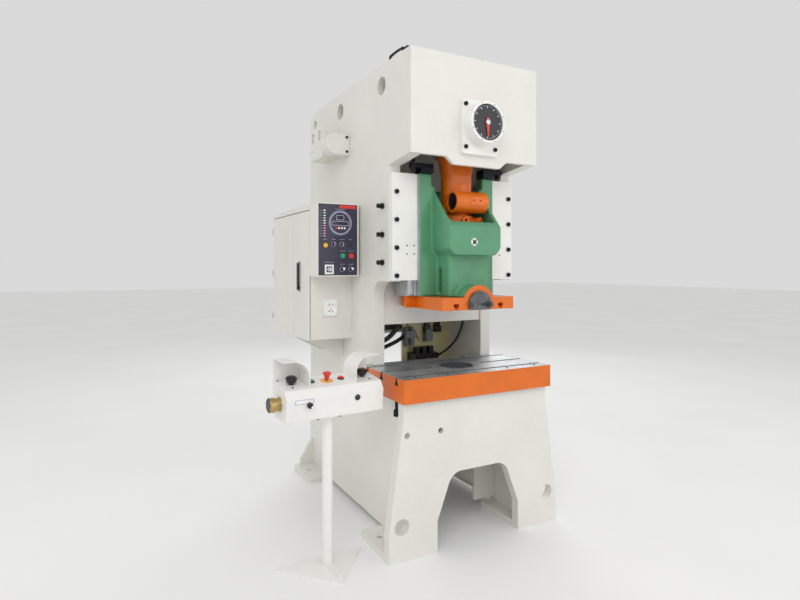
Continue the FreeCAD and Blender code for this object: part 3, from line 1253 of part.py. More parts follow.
def console_body(press):
    p = press
    centre = p.console_shift
    section = [(*CONSOLE_SECTION["front_low"], 3), (*CONSOLE_SECTION["front_high"], 6),
               (*CONSOLE_SECTION["lip"], 6), (*CONSOLE_SECTION["rear_high"], 6),
               (*CONSOLE_SECTION["rear_low"], 3)]
    outside = plate(p, "console_outside", "YZ", [section], 2 * p.console_half, -p.console_half)
    inset = [(-88, 847), (-98, 958), (-71, 998), (107, 1025), (60, 847)]
    inside = plate(p, "console_inside", "YZ", [inset], 2 * p.console_half - 8, 4 - p.console_half)
    hoods = [hood(p, "left_hood", -1), hood(p, "right_hood", 1)]
    body = fuse(p, "console_sheet", cut(p, "console_hollow", outside, inside), *hoods)
    tools = []
    home = console_frame(p).inverse()
    for name, place, radius in console_controls(p):
        hole = p.doc.addObject("Part::Cylinder", f"console_hole_{name}")
        hole.Radius = radius
        hole.Height = 40
        hole.Placement = home.multiply(place).multiply(Placement(Vector(0, 0, -30), Rotation()))
        tools.append(hole)
    whole = cut(p, "console_cut", body, *tools)
    tools_x = bar(p, "connector_hole", "x", 30, -p.console_half - 10, 20, y=0, z=925)
    whole = cut(p, "console_cut_end", whole, tools_x)
    whole.Placement = console_frame(p).multiply(Placement(Vector(float(centre), 0, 0), Rotation()))
    p.keep(whole, "console_body")
    barrel = turned(p, "connector_turned", "x", [
        (-62, 0), (-62, 34), (-58, 39, 2), (-30, 39), (-30, 34), (-6, 34), (-6, 39), (0, 39),
        (0, 29.9), (4, 29.9), (4, 0)])
    barrel.Placement = console_frame(p).multiply(Placement(
        Vector(float(centre - p.console_half), 0, 925), Rotation()))
    p.keep(barrel, "console_connector")


def console_controls(press):
    """Name, placement (before the console's shift) and shank radius of each control's hole."""
    half = float(press.palm_pitch) / 2
    rows = [("left_palm", -half, 96, 14), ("right_palm", half, 96, 14),
            ("stop", -8, 92, 11), ("green", -98, 96, 11), ("red", 80, 96, 11)]
    spots = [(name, console_top_place(press, x, along), radius + 0.3)
             for name, x, along, radius in rows]
    spots.append(("selector", console_front_place(press, -160, 925), 11.3))
    return spots


def spun(press, name, profile, place):
    """A profile of (height, radius) corners turned about a control's own axis."""
    body = turned(press, name, "z", profile)
    shift = Placement(Vector(float(press.console_shift), 0, 0), Rotation())
    home = console_frame(press)
    body.Placement = home.multiply(shift).multiply(home.inverse()).multiply(place)
    return body


def console_buttons(press):
    p = press
    spots = {name: place for name, place, _ in console_controls(p)}
    palm = [(-20, 0), (-20, 14), (10, 14), (10, 22), (14, 26), (22, 27), (26, 31), (36, 31, 4), (44, 22, 8),
            (46, 0)]
    for side in ("left", "right"):
        p.keep(spun(p, side + "_palm_turned", palm, spots[side + "_palm"]), side + "_palm_button")
    stop = [(-20, 0), (-20, 11), (20, 11), (20, 14), (28, 16), (38, 24, 3), (46, 23, 6), (50, 10), (50, 0)]
    p.keep(spun(p, "stop_turned", stop, spots["stop"]), "emergency_stop_button")
    small = [(-20, 0), (-20, 11), (6, 11), (6, 15), (13, 15, 2), (14, 0)]
    for colour in ("green", "red"):
        p.keep(spun(p, colour + "_console_turned", small, spots[colour]), f"console_{colour}_button")
    knob = [(-20, 0), (-20, 11), (0.5, 11), (0.5, 15), (18, 15, 2), (22, 10), (22, 0)]
    p.keep(spun(p, "selector_turned", knob, spots["selector"]), "console_selector")


PIECES = [side_plates, bed_front_plate, bed_table, inner_walls, foot_plates, head_plates,
          rear_guard, bolster, gibs, slide, slide_plate, balance_rods, connecting_rod,
          adjusting_screw, crankshaft, bushes, gears, flywheel, motor, drive_belts, dial, cabinet,
          panel, cam_boxes, services, air_hoses, console_stand, console_body, console_buttons]


def main():
    press = Press()
    for make in PIECES:
        make(press)
    press.doc.recompute()
    faults = [f"{thing.Name}: {thing.State}" for thing in press.doc.Objects
              if {"Invalid", "Error"} & set(thing.State)]
    for node in press.nodes:
        if node.Shape.isNull() or not node.Shape.isValid():
            faults.append(f"{node.Label}: bad shape")
    if faults:
        raise RuntimeError("; ".join(faults))
    os.makedirs("parts", exist_ok=True)
    for node in press.nodes:
        node.Shape.exportStep(f"parts/{node.Label}.step")
    print(len(press.nodes), "nodes,", sum(len(n.Shape.Solids) for n in press.nodes), "solids")


main()
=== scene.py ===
"""A mechanical stamping press: the looks built round its fixed frame.

Each group of pieces has an operator of its own, and main() runs them in order. Lengths are in
metres in the frame's own axes: +Z up, +Y from the operator's side to the back.
"""

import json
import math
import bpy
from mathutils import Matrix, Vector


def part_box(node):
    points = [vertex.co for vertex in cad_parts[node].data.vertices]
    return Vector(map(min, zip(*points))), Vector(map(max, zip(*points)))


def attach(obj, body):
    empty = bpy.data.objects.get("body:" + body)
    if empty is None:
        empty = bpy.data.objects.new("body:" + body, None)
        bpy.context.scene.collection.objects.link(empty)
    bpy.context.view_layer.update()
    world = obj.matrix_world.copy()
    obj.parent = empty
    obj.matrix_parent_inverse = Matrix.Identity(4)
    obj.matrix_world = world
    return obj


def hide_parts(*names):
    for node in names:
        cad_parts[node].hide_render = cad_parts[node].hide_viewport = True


bl_info = {
    "name": "Stamping Press",
    "version": (1, 0, 0),
    "blender": (4, 5, 0),
    "location": "View3D > Sidebar > Press",
    "description": "Builds the finish and the small parts of a stamping press",
    "category": "Object",
}

import bmesh
import bpy
from mathutils import Matrix, Vector

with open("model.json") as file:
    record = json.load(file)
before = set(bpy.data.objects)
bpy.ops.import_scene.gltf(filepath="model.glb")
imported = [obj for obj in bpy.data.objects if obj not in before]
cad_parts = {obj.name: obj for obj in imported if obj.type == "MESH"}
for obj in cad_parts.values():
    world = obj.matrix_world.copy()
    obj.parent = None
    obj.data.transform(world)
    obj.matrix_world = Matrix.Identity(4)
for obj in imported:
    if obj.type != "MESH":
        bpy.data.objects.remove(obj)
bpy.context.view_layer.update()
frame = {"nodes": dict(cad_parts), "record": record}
RECORD = frame["record"]
BODY_OF = {node: body for body, nodes in RECORD["behaviour"]["bodies"].items() for node in nodes}
SLOT_OF = {row["node"]: row["material_slot"] for row in RECORD["subparts"]}

# Directions that pieces face
TO_FRONT, TO_BACK, TO_LEFT, UP = (0, -1, 0), (0, 1, 0), (-1, 0, 0), (0, 0, 1)


def middle(node):
    """The middle of a node's box."""
    low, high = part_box(node)
    return (low + high) / 2


# Places that the frame gives
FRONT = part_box("bed_front_plate")[0].y
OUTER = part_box("right_side_plate")[1].x
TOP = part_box("head_plates")[1].z
CRANK_Z = middle("crankshaft").z
PINION_Z = middle("flywheel").z
MOTOR_Z = middle("motor_pulley").z


def depth(millimetres):
    """The y of a place measured backwards from the front of the feet."""
    return FRONT + millimetres / 1000


def colour(text):
    """Linear colour from a six-figure screen colour."""
    channels = [int(text[i:i + 2], 16) / 255 for i in (0, 2, 4)]
    return [c / 12.92 if c < 0.04045 else ((c + 0.055) / 1.055) ** 2.4 for c in channels]


# --- settings ----------------------------------------------------------------------

def tint(name, about, text):
    return bpy.props.FloatVectorProperty(name=name, description=about, subtype="COLOR", size=3,
                                         min=0, max=1, default=colour(text))


def length(name, about, metres):
    return bpy.props.FloatProperty(name=name, description=about, subtype="DISTANCE",
                                   unit="LENGTH", min=0, default=metres)


class PressPaint(bpy.types.PropertyGroup):
    """Colours of the paints and plastics."""
    body: tint("Body", "Paint of the welded frame and the boxes", "e6e4dd")
    cover: tint("Covers", "Paint of the gib plates, console and dial", "f1f0ec")
    slide: tint("Slide", "Paint of the slide casting", "57976f")
    bright: tint("Bright parts", "Paint of the rod, slide plate and bolster", "e06c0a")
    panel: tint("Control plate", "Plate under the push buttons", "2b2940")


class PressSizes(bpy.types.PropertyGroup):
    """Sizes of the finish and of the small parts."""
    plate_round: length("Plate edge", "Rounding of the frame plates' edges", 0.003)
    net: length("Casting net", "Mesh spacing on the slide's casting", 0.005)
    sheet_round: length("Sheet edge", "Rounding of folded covers' edges", 0.0015)
    dial_face: length("Dial face", "Radius of the dial's black face", 0.106)
    tick: length("Dial tick", "Length of a tick on the dial", 0.016)
    lamp: length("Lamp", "Width of an indicator lamp", 0.014)


def paint():
    return bpy.context.scene.press_paint


def sizes():
    return bpy.context.scene.press_sizes


# --- shader maths ------------------------------------------------------------------

class Wire:
    """A node's output that takes part in plain arithmetic."""

    def __init__(self, shader, socket):
        self.shader = shader
        self.socket = socket

    def maths(self, operation, first, second):
        return self.shader.node("ShaderNodeMath", {"operation": operation}, {0: first, 1: second})

    def __add__(self, other):
        return self.maths("ADD", self, other)

    def __radd__(self, other):
        return self.maths("ADD", other, self)

    def __mul__(self, other):
        return self.maths("MULTIPLY", self, other)

    def __rmul__(self, other):
        return self.maths("MULTIPLY", other, self)


class Shader:
    """A material whose nodes are made by expressions."""

    def __init__(self, name, **fixed):
        self.material = bpy.data.materials.new(name)
        self.material.use_nodes = True
        self.tree = self.material.node_tree
        self.surface = self.tree.nodes["Principled BSDF"]
        for key, value in fixed.items():
            self.set(key.replace("_", " ").title().replace("Ior", "IOR"), value)

    def set(self, name, value):
        """Give an input of the surface a value or a wire."""
        self.plug(self.surface.inputs[name], value)

    def plug(self, target, value):
        if isinstance(value, Wire):
            self.tree.links.new(value.socket, target)
        elif target.type == "RGBA" and len(value) == 3:
            target.default_value = (*value, 1)
        else:
            target.default_value = value

    def node(self, kind, settings=None, sockets=None, output=0):
        made = self.tree.nodes.new(kind)
        for key, value in (settings or {}).items():
            setattr(made, key, value)
        for key, value in (sockets or {}).items():
            self.plug(made.inputs[key], value)
        return Wire(self, made.outputs[output])

    def place(self, stretch=(1, 1, 1)):
        """Object coordinates, stretched along each axis."""
        at = self.node("ShaderNodeTexCoord", output="Object")
        return self.node("ShaderNodeMapping", None, {"Vector": at, "Scale": stretch})

    def noise(self, scale, detail=3, stretch=(1, 1, 1), roughness=0.5):
        return self.node("ShaderNodeTexNoise", None, {
            "Vector": self.place(stretch), "Scale": scale, "Detail": detail,
            "Roughness": roughness})

    def cells(self, scale):
        return self.node("ShaderNodeTexVoronoi", None, {"Vector": self.place(), "Scale": scale})

    def ramp(self, value, low, high, first=0.0, last=1.0):
        """The value between low and high, carried onto first to last."""
        return self.node("ShaderNodeMapRange", None, {
            "Value": value, "From Min": low, "From Max": high, "To Min": first, "To Max": last})

    def blend(self, amount, first, second):
        mixer = self.tree.nodes.new("ShaderNodeMix")
        mixer.data_type = "RGBA"
        for name, value in (("Factor_Float", amount), ("A_Color", first), ("B_Color", second)):
            self.plug(next(s for s in mixer.inputs if s.identifier == name), value)
        return Wire(self, next(s for s in mixer.outputs if s.identifier == "Result_Color"))

    def bump(self, height, reach, strength=1.0):
        """Relief of the given height in metres."""
        relief = self.node("ShaderNodeBump", None, {
            "Height": height, "Distance": reach, "Strength": strength})
        self.set("Normal", relief)


def shade(base, amount):
    """The colour made darker (below 1) or lighter."""
    return [min(1, channel * amount) for channel in base]


FINISHES = {}


def finish(name):
    """The material of that name, made on first use."""
    if name not in FINISHES:
        FINISHES[name] = MAKERS[name](name)
    return FINISHES[name]


def sprayed(name, base, rough=0.42, peel=0.00012):
    """Smooth sprayed enamel with a faint orange peel and uneven coverage."""
    s = Shader(name, coat_weight=0.18, coat_roughness=0.12)
    cloud = s.noise(2.2, 4, roughness=0.6)
    fine = s.noise(38, 3)
    s.set("Base Color", s.blend(s.ramp(cloud * 0.75 + fine * 0.25, 0.3, 0.72),
                                shade(base, 0.93), shade(base, 1.03)))
    s.set("Roughness", s.ramp(fine, 0.3, 0.7, rough - 0.06, rough + 0.08))
    s.bump(s.noise(320, 2) + 3 * s.noise(9, 2), peel)
    return s.material


def body_paint(name):
    return sprayed(name, paint().body, 0.44)


def cover_paint(name):
    return sprayed(name, paint().cover, 0.38)


def cast_paint(name, base, rough):
    """Thick enamel over a sand casting: soft pits, long swells and a wet gloss."""
    s = Shader(name, coat_weight=0.3, coat_roughness=0.06, specular_ior_level=0.35)
    swell = s.noise(7, 4, roughness=0.55)
    grain = s.noise(150, 4, roughness=0.65)
    pits = s.cells(240)
    s.set("Base Color", s.blend(s.ramp(swell * 0.6 + grain * 0.4, 0.32, 0.68),
                                shade(base, 0.84), shade(base, 1.1)))
    s.set("Roughness", s.ramp(grain, 0.35, 0.65, rough - 0.08, rough + 0.12))
    s.bump(swell * 5 + grain * 0.8 + s.ramp(pits, 0, 0.45) * 0.3, 0.0007)
    return s.material


def green_paint(name):
    return cast_paint(name, paint().slide, 0.4)


def orange_paint(name):
    return cast_paint(name, paint().bright, 0.36)


def ground_steel(name):
    """Ground and cross-hatched machine faces."""
    s = Shader(name, metallic=0.92, specular_ior_level=0.5)
    along = s.noise(26, 5, (1, 60, 1), 0.7)
    across = s.noise(24, 5, (60, 1, 1), 0.7)
    stain = s.noise(6, 4, roughness=0.6)
    s.set("Base Color", s.blend(s.ramp(along * 0.5 + stain * 0.5, 0.34, 0.66),
                                colour("8f9498"), colour("dadddf")))
    s.set("Roughness", s.ramp(across * 0.6 + stain * 0.4, 0.3, 0.7, 0.24, 0.5))
    s.bump(along + across * 0.5, 0.00012)
    return s.material


def bolster_top(name):
    """Milled bolster face: bright streaks along X over a greyer ground."""
    s = Shader(name, metallic=0.85, specular_ior_level=0.5)
    streaks = s.noise(14, 5, (1, 22, 1), 0.75)
    fine = s.noise(40, 4, (1, 40, 1), 0.7)
    stain = s.noise(5, 4, roughness=0.6)
    s.set("Base Color", s.blend(s.ramp(streaks * 0.6 + stain * 0.4, 0.36, 0.64),
                                colour("8d959c"), colour("eef0f1")))
    s.set("Roughness", s.ramp(fine * 0.5 + stain * 0.5, 0.3, 0.7, 0.26, 0.5))
    s.bump(fine, 0.0001)
    return s.material


def black_oxide(name):
    """Blackened screws and bars with a slight sheen on their high spots."""
    s = Shader(name, metallic=0.7)
    grain = s.noise(180, 3)
    s.set("Base Color", s.blend(s.ramp(grain, 0.35, 0.7), colour("17171b"), colour("34343c")))
    s.set("Roughness", s.ramp(grain, 0.3, 0.7, 0.32, 0.52))
    s.bump(grain, 0.00008)
    return s.material


def bright_steel(name):
    """Plated or turned bright metal."""
    s = Shader(name, metallic=1.0)
    turn = s.noise(60, 4, (1, 1, 8))
    s.set("Base Color", s.blend(turn, colour("a9abad"), colour("e4e5e6")))
    s.set("Roughness", s.ramp(turn, 0.3, 0.7, 0.18, 0.34))
    s.bump(turn, 0.00004)
    return s.material


def dark_casting(name):
    """Oily cast iron of the gear and pulleys."""
    s = Shader(name, metallic=0.55)
    grain = s.noise(120, 5, roughness=0.7)
    oil = s.noise(5, 3)
    s.set("Base Color", s.blend(s.ramp(grain * 0.6 + oil * 0.4, 0.35, 0.65),
                                colour("4a4b4d"), colour("85878a")))
    s.set("Roughness", s.ramp(oil, 0.35, 0.65, 0.35, 0.6))
    s.bump(grain, 0.0004)
    return s.material


def brass(name):
    s = Shader(name, metallic=1.0)
    turn = s.noise(50, 4, (8, 1, 1))
    s.set("Base Color", s.blend(turn, colour("9c7b3e"), colour("dcc68e")))
    s.set("Roughness", s.ramp(turn, 0.3, 0.7, 0.22, 0.38))
    s.bump(turn, 0.00005)
    return s.material


def moulded(name, base, rough=0.35):
    """Moulded plastic with a fine spark-eroded grain."""
    s = Shader(name, coat_weight=0.12, coat_roughness=0.2)
    grain = s.noise(900, 2)
    cloud = s.noise(30, 2)
    s.set("Base Color", s.blend(s.ramp(cloud, 0.3, 0.7), shade(base, 0.88), shade(base, 1.08)))
    s.set("Roughness", s.ramp(grain, 0.3, 0.7, rough - 0.05, rough + 0.07))
    s.bump(grain, 0.00003)
    return s.material


def plastic(text, rough=0.35):
    return lambda name: moulded(name, colour(text), rough)


def rubber(name):
    s = Shader(name)
    grain = s.noise(260, 3)
    s.set("Base Color", s.blend(grain, colour("101012"), colour("2a2a2d")))
    s.set("Roughness", s.ramp(grain, 0.3, 0.7, 0.45, 0.62))
    s.bump(grain, 0.00012)
    return s.material


def machine_grey(name):
    return sprayed(name, colour("6d7679"), 0.4)


def valve_paint(name):
    return sprayed(name, colour("d8cf9c"), 0.42)


def control_plate(name):
    """Dark printed film over a flat plate."""
    s = Shader(name, coat_weight=0.25, coat_roughness=0.18)
    cloud = s.noise(7, 3)
    weave = s.noise(1100, 1)
    base = paint().panel
    s.set("Base Color", s.blend(s.ramp(cloud, 0.3, 0.7), shade(base, 0.82), shade(base, 1.3)))
    s.set("Roughness", s.ramp(weave, 0.3, 0.7, 0.3, 0.42))
    s.bump(weave, 0.00003)
    return s.material


def lamp(text):
    """A small lens that glows a little."""
    def make(name):
        s = Shader(name, roughness=0.2, coat_weight=0.5, emission_strength=0.35)
        grain = s.noise(400, 2)
        tone = s.blend(grain, shade(colour(text), 0.85), colour(text))
        s.set("Base Color", tone)
        s.set("Emission Color", tone)
        return s.material
    return make


def floor_paint(name):
    s = Shader(name)
    cloud = s.noise(0.8, 4)
    s.set("Base Color", s.blend(s.ramp(cloud, 0.3, 0.7), colour("f1f1f0"), colour("f5f5f4")))
    s.set("Roughness", s.ramp(cloud, 0.3, 0.7, 0.55, 0.65))
    return s.material


MAKERS = {
    "body_paint": body_paint, "cover_paint": cover_paint, "green_paint": green_paint,
    "orange_paint": orange_paint, "ground_steel": ground_steel, "bolster_top": bolster_top,
    "black_oxide": black_oxide, "bright_steel": bright_steel, "dark_casting": dark_casting,
    "brass": brass,
    "black_plastic": plastic("0d0d10"), "red_plastic": plastic("e2342c", 0.25),
    "green_plastic": plastic("1f9d78", 0.25), "yellow_plastic": plastic("f0b61c", 0.28),
    "white_plastic": plastic("f2f3f3", 0.3), "smoked_plastic": plastic("2c2b3a", 0.2),
    "rubber": rubber, "machine_grey": machine_grey, "valve_paint": valve_paint,
    "control_plate": control_plate, "printed_white": plastic("d9dae6", 0.45),
    "printed_grey": plastic("a9a8c4", 0.45), "red_enamel": plastic("e43a2e", 0.3),
    "white_lamp": lamp("fdf6e4"), "green_lamp": lamp("a8e8d6"), "yellow_lamp": lamp("f1e9a6"),
    "red_lamp": lamp("f29aa4"), "display_glass": plastic("221d28", 0.12),
    "display_face": plastic("1d1f24", 0.3),
    # The near-black rough finish on the next line is painted shade: it stands for the shade in the
    # door's gap and in the socket's holes.
    "copper": plastic("b5683c", 0.3), "painted_shade": plastic("1b1b1b", 0.6),
    "floor_paint": floor_paint,
}


# --- mesh helpers ------------------------------------------------------------------

MERGE = 0.00002     # points nearer than this are one
SHARP = 32          # edges sharper than this many degrees are rounded
FLAT = 0.6          # faces that turn less than this many degrees are joined

def new_object(name, mesh):
    made = bpy.data.objects.new(name, mesh)
    bpy.context.scene.collection.objects.link(made)
    return made


def baked(piece):
    """Replace the piece's modifiers by their result."""
    graph = bpy.context.evaluated_depsgraph_get()
    mesh = bpy.data.meshes.new_from_object(piece.evaluated_get(graph), depsgraph=graph)
    piece.modifiers.clear()
    piece.data = mesh
    return piece


def settle(piece, body, slot, *finishes):
    """Give a finished piece its materials and its body; the slot is not used."""
    if finishes:
        piece.data.materials.clear()
        for name in finishes:
            piece.data.materials.append(finish(name))
    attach(piece, body)
    return piece


def from_bmesh(name, bm, smooth=35):
    """An object from a bmesh, smooth except over edges sharper than the angle."""
    for face in bm.faces:
        face.smooth = True
    for edge in bm.edges:
        edge.smooth = not (edge.is_manifold and edge.calc_face_angle(0) > math.radians(smooth))
    mesh = bpy.data.meshes.new(name)
    bm.to_mesh(mesh)
    bm.free()
    return new_object(name, mesh)


def rounded(piece, width, segments=2):
    """Round the piece's sharp edges."""
    bevel = piece.modifiers.new("rounding", "BEVEL")
    bevel.width = width
    bevel.segments = segments
    bevel.limit_method = "ANGLE"
    bevel.angle_limit = math.radians(SHARP)
    bevel.harden_normals = True
    for face in piece.data.polygons:
        face.use_smooth = True
    return baked(piece)


def merged(node):
    """A bmesh copy of a frame node with its points merged."""
    bm = bmesh.new()
    bm.from_mesh(frame["nodes"][node].data)
    bmesh.ops.remove_doubles(bm, verts=bm.verts, dist=MERGE)
    return bm


def stand_in(piece, node):
    """Let a finished copy ride with its node's body and stand for it."""
    settle(piece, BODY_OF[node], SLOT_OF[node])
    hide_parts(node)
    return piece


def skin(node, finishes, width, choose=None, segments=2):
    """A copy of a frame node with rounded edges; choose picks the finish of each face."""
    bm = merged(node)
    bmesh.ops.dissolve_limit(bm, angle_limit=math.radians(FLAT), verts=bm.verts, edges=bm.edges)
    if choose:
        for face in bm.faces:
            face.material_index = choose(face.calc_center_median(), face.normal)
    piece = from_bmesh(node + "_finish", bm, 30)
    for name in finishes:
        piece.data.materials.append(finish(name))
    if width:
        rounded(piece, width, segments)
    return stand_in(piece, node)


def skins(finish_name, width, *nodes, segments=2):
    """Skins of one finish and one rounding on several nodes."""
    for node in nodes:
        skin(node, [finish_name], width, segments=segments)


def cast(node, finishes, net, rounds, keep, choose=None):
    """A copy of a casting with soft corners: an even net, relaxed and thinned.

    Points beyond `keep` from the middle plane are machined and stay where they are.
    """
    piece = from_bmesh(node + "_finish", merged(node))
    even = piece.modifiers.new("net", "REMESH")
    even.mode = "VOXEL"
    even.voxel_size = net
    baked(piece)
    if not piece.data.polygons:
        raise RuntimeError(f"{node}: the net is empty")
    soft = piece.vertex_groups.new(name="soft")
    soft.add([v.index for v in piece.data.vertices if abs(v.co.x) < keep], 1, "REPLACE")
    relax = piece.modifiers.new("relax", "SMOOTH")
    relax.factor, relax.iterations, relax.vertex_group = 0.5, rounds, soft.name
    thin = piece.modifiers.new("thin", "DECIMATE")
    thin.ratio = 0.4
    baked(piece)
    piece.data.materials.clear()
    for name in finishes:
        piece.data.materials.append(finish(name))
    for face in piece.data.polygons:
        face.use_smooth = True
        if choose:
            face.material_index = choose(face.center, face.normal)
    return stand_in(piece, node)


def block(bm, low, high, place=None):
    """Add a box between two corners."""
    low, high = Vector(low), Vector(high)
    made = bmesh.ops.create_cube(bm, size=1)["verts"]
    middle, span = (low + high) / 2, high - low
    for vertex in made:
        vertex.co = Vector((vertex.co[i] * span[i] + middle[i] for i in range(3)))
        if place is not None:
            vertex.co = place @ vertex.co
    return made


def blocks_piece(name, blocks, finish_name, body, slot, round_by=0.0, place=None):
    """Boxes, each between two corners, as one piece."""
    bm = bmesh.new()
    for low, high in blocks:
        block(bm, low, high, place)
    piece = from_bmesh(name, bm)
    if round_by:
        rounded(piece, round_by)
    return settle(piece, body, slot, finish_name)


def lathe(bm, profile, place=None, steps=48):
    """Add a turned shape: (radius, height) points round the local Z axis."""
    rings = []
    for radius, height in profile:
        count = 1 if radius == 0 else steps
        ring = [bm.verts.new((radius * math.cos(2 * math.pi * i / count),
                              radius * math.sin(2 * math.pi * i / count), height))
                for i in range(count)]
        rings.append(ring)
    for lower, upper in zip(rings, rings[1:]):
        for i in range(steps):
            j = (i + 1) % steps
            corners = [lower[i % len(lower)], lower[j % len(lower)],
                       upper[j % len(upper)], upper[i % len(upper)]]
            unique = list(dict.fromkeys(corners))
            if len(unique) > 2:
                bm.faces.new(unique)
    if place is not None:
        for ring in rings:
            for vertex in ring:
                vertex.co = place @ vertex.co
    bmesh.ops.recalc_face_normals(bm, faces=bm.faces)


def lathe_piece(name, profile, place, finish_name, body, slot, steps=48):
    bm = bmesh.new()
    lathe(bm, profile, place, steps)
    return settle(from_bmesh(name, bm, SHARP), body, slot, finish_name)


def ring_profile(inner, outer, height, edge):
    """Section of a flat ring with a bevelled outer edge."""
    return [(inner, 0), (outer, 0), (outer, height - edge), (outer - edge, height),
            (inner, height), (inner, 0)]


def facing(at, axis):
    """A place whose local Z points along the axis."""
    turn = Vector(axis).to_track_quat("Z", "Y").to_matrix().to_4x4()
    return Matrix.Translation(Vector(at)) @ turn


def round_places(centre, radius, count, first=0.0):
    """Places on an upright circle: local Y points outwards and local Z to the front."""
    places = []
    for i in range(count):
        angle = math.radians(first) + 2 * math.pi * i / count
        out = Vector((math.sin(angle), 0, math.cos(angle)))
        turn = Matrix((out.cross(Vector(TO_FRONT)), out, TO_FRONT)).transposed()
        places.append(Matrix.Translation(centre + out * radius) @ turn.to_4x4())
    return places


def tube(name, points, radius, finish_name):
    """A smooth bar that follows its points."""
    curve = bpy.data.curves.new(name, "CURVE")
    curve.dimensions = "3D"
    curve.bevel_depth = radius
    curve.bevel_resolution = 6
    curve.resolution_u = 12
    curve.use_fill_caps = True
    spline = curve.splines.new("NURBS")
    spline.points.add(len(points) - 1)
    for point, at in zip(spline.points, points):
        point.co = (*at, 1)
    spline.order_u = 3
    spline.use_endpoint_u = True
    made = new_object(name, curve)
    curve.materials.append(finish(finish_name))
    return made


def solid_tube(name, points, radius, finish_name, body, slot):
    """The same bar as a closed mesh."""
    made = tube(name, points, radius, finish_name)
    graph = bpy.context.evaluated_depsgraph_get()
    mesh = bpy.data.meshes.new_from_object(made.evaluated_get(graph), depsgraph=graph)
    bpy.data.objects.remove(made)
    bm = bmesh.new()
    bm.from_mesh(mesh)
    bmesh.ops.remove_doubles(bm, verts=bm.verts, dist=0.00001)
    bmesh.ops.recalc_face_normals(bm, faces=bm.faces)
    piece = from_bmesh(name, bm, 40)
    return settle(piece, body, slot, finish_name)


# --- repeats by geometry nodes -----------------------------------------------------

class Graph:
    """A geometry node tree with named inputs, the geometry first."""

    def __init__(self, name, **inputs):
        self.tree = bpy.data.node_groups.new(name, "GeometryNodeTree")
        self.tree.is_modifier = True
        add = self.tree.interface.new_socket
        add("Geometry", in_out="INPUT", socket_type="NodeSocketGeometry")
        self.given = {}
        for key, value in inputs.items():
            is_object = isinstance(value, bpy.types.Object)
            kind = "NodeSocketObject" if is_object else "NodeSocketMaterial"
            self.given[add(key, in_out="INPUT", socket_type=kind).identifier] = value
        add("Geometry", in_out="OUTPUT", socket_type="NodeSocketGeometry")
        self.entry = self.tree.nodes.new("NodeGroupInput")

    def value(self, key):
        return self.entry.outputs[key]

    def node(self, kind, settings=None, sockets=None, output=0):
        made = self.tree.nodes.new(kind)
        for key, value in (settings or {}).items():
            setattr(made, key, value)
        for key, value in (sockets or {}).items():
            if isinstance(value, bpy.types.NodeSocket):
                self.tree.links.new(value, made.inputs[key])
            else:
                made.inputs[key].default_value = value
        return made.outputs[output]

    def run(self, piece, geometry):
        """End the tree, run it on a piece and keep the result as a plain mesh."""
        exit_node = self.tree.nodes.new("NodeGroupOutput")
        self.tree.links.new(geometry, exit_node.inputs[0])
        modifier = piece.modifiers.new("repeat", "NODES")
        modifier.node_group = self.tree
        for identifier, value in self.given.items():
            modifier[identifier] = value
        return baked(piece)


def repeated(name, pattern, places, finish_name, body, slot):
    """Copies of a small pattern mesh on each place, made by a node tree.

    The pattern is a function that fills a bmesh; its local Z is turned onto each place's axis.
    """
    bm = bmesh.new()
    pattern(bm)
    sample = from_bmesh(name + "_sample", bm, 32)
    points = bpy.data.meshes.new(name + "_points")
    points.from_pydata([place.translation for place in places], [], [])
    turns = points.attributes.new("turn", "FLOAT_VECTOR", "POINT")
    for item, place in zip(turns.data, places):
        item.vector = place.to_euler()
    holder = new_object(name, points)
    graph = Graph(name + "_tree", Sample=sample, Finish=finish(finish_name))
    source = graph.node("GeometryNodeObjectInfo", None, {"Object": graph.value("Sample")},
                        "Geometry")
    turn = graph.node("GeometryNodeInputNamedAttribute", {"data_type": "FLOAT_VECTOR"},
                      {"Name": "turn"}, "Attribute")
    spin = graph.node("FunctionNodeEulerToRotation", None, {0: turn})
    copies = graph.node("GeometryNodeInstanceOnPoints", None, {
        "Points": graph.value("Geometry"), "Instance": source, "Rotation": spin})
    real = graph.node("GeometryNodeRealizeInstances", None, {0: copies})
    graph.run(holder, graph.node("GeometryNodeSetMaterial", None, {
        0: real, "Material": graph.value("Finish")}))
    if len(holder.data.vertices) != len(places) * len(sample.data.vertices):
        raise RuntimeError(f"{name}: the copies were not made")
    bpy.data.objects.remove(sample)
    return settle(holder, body, slot, finish_name)


def cap_screw(radius):
    """Pattern: a socket-head cap screw's head, standing on its local origin."""
    def fill(bm):
        section = ((0, 0), (1, 0), (1, 0.95), (0.9, 1.1), (0.55, 1.1), (0.5, 0.5), (0, 0.45))
        lathe(bm, [(radius * x, radius * z) for x, z in section], steps=24)
    return fill


def hex_head(radius, height):
    """Pattern: a hexagon head with a chamfered top."""
    def fill(bm):
        lathe(bm, [(0, 0), (radius, 0), (radius, height * 0.8), (radius * 0.86, height),
                   (0, height)], steps=6)
    return fill


def pan_head(radius):
    """Pattern: a low domed screw head with a shallow round recess."""
    def fill(bm):
        section = ((0, 0), (1, 0), (0.94, 0.3), (0.6, 0.55), (0.2, 0.62), (0.1, 0.4), (0, 0.36))
        lathe(bm, [(radius * x, radius * z) for x, z in section], steps=16)
    return fill


# --- pieces ------------------------------------------------------------------------

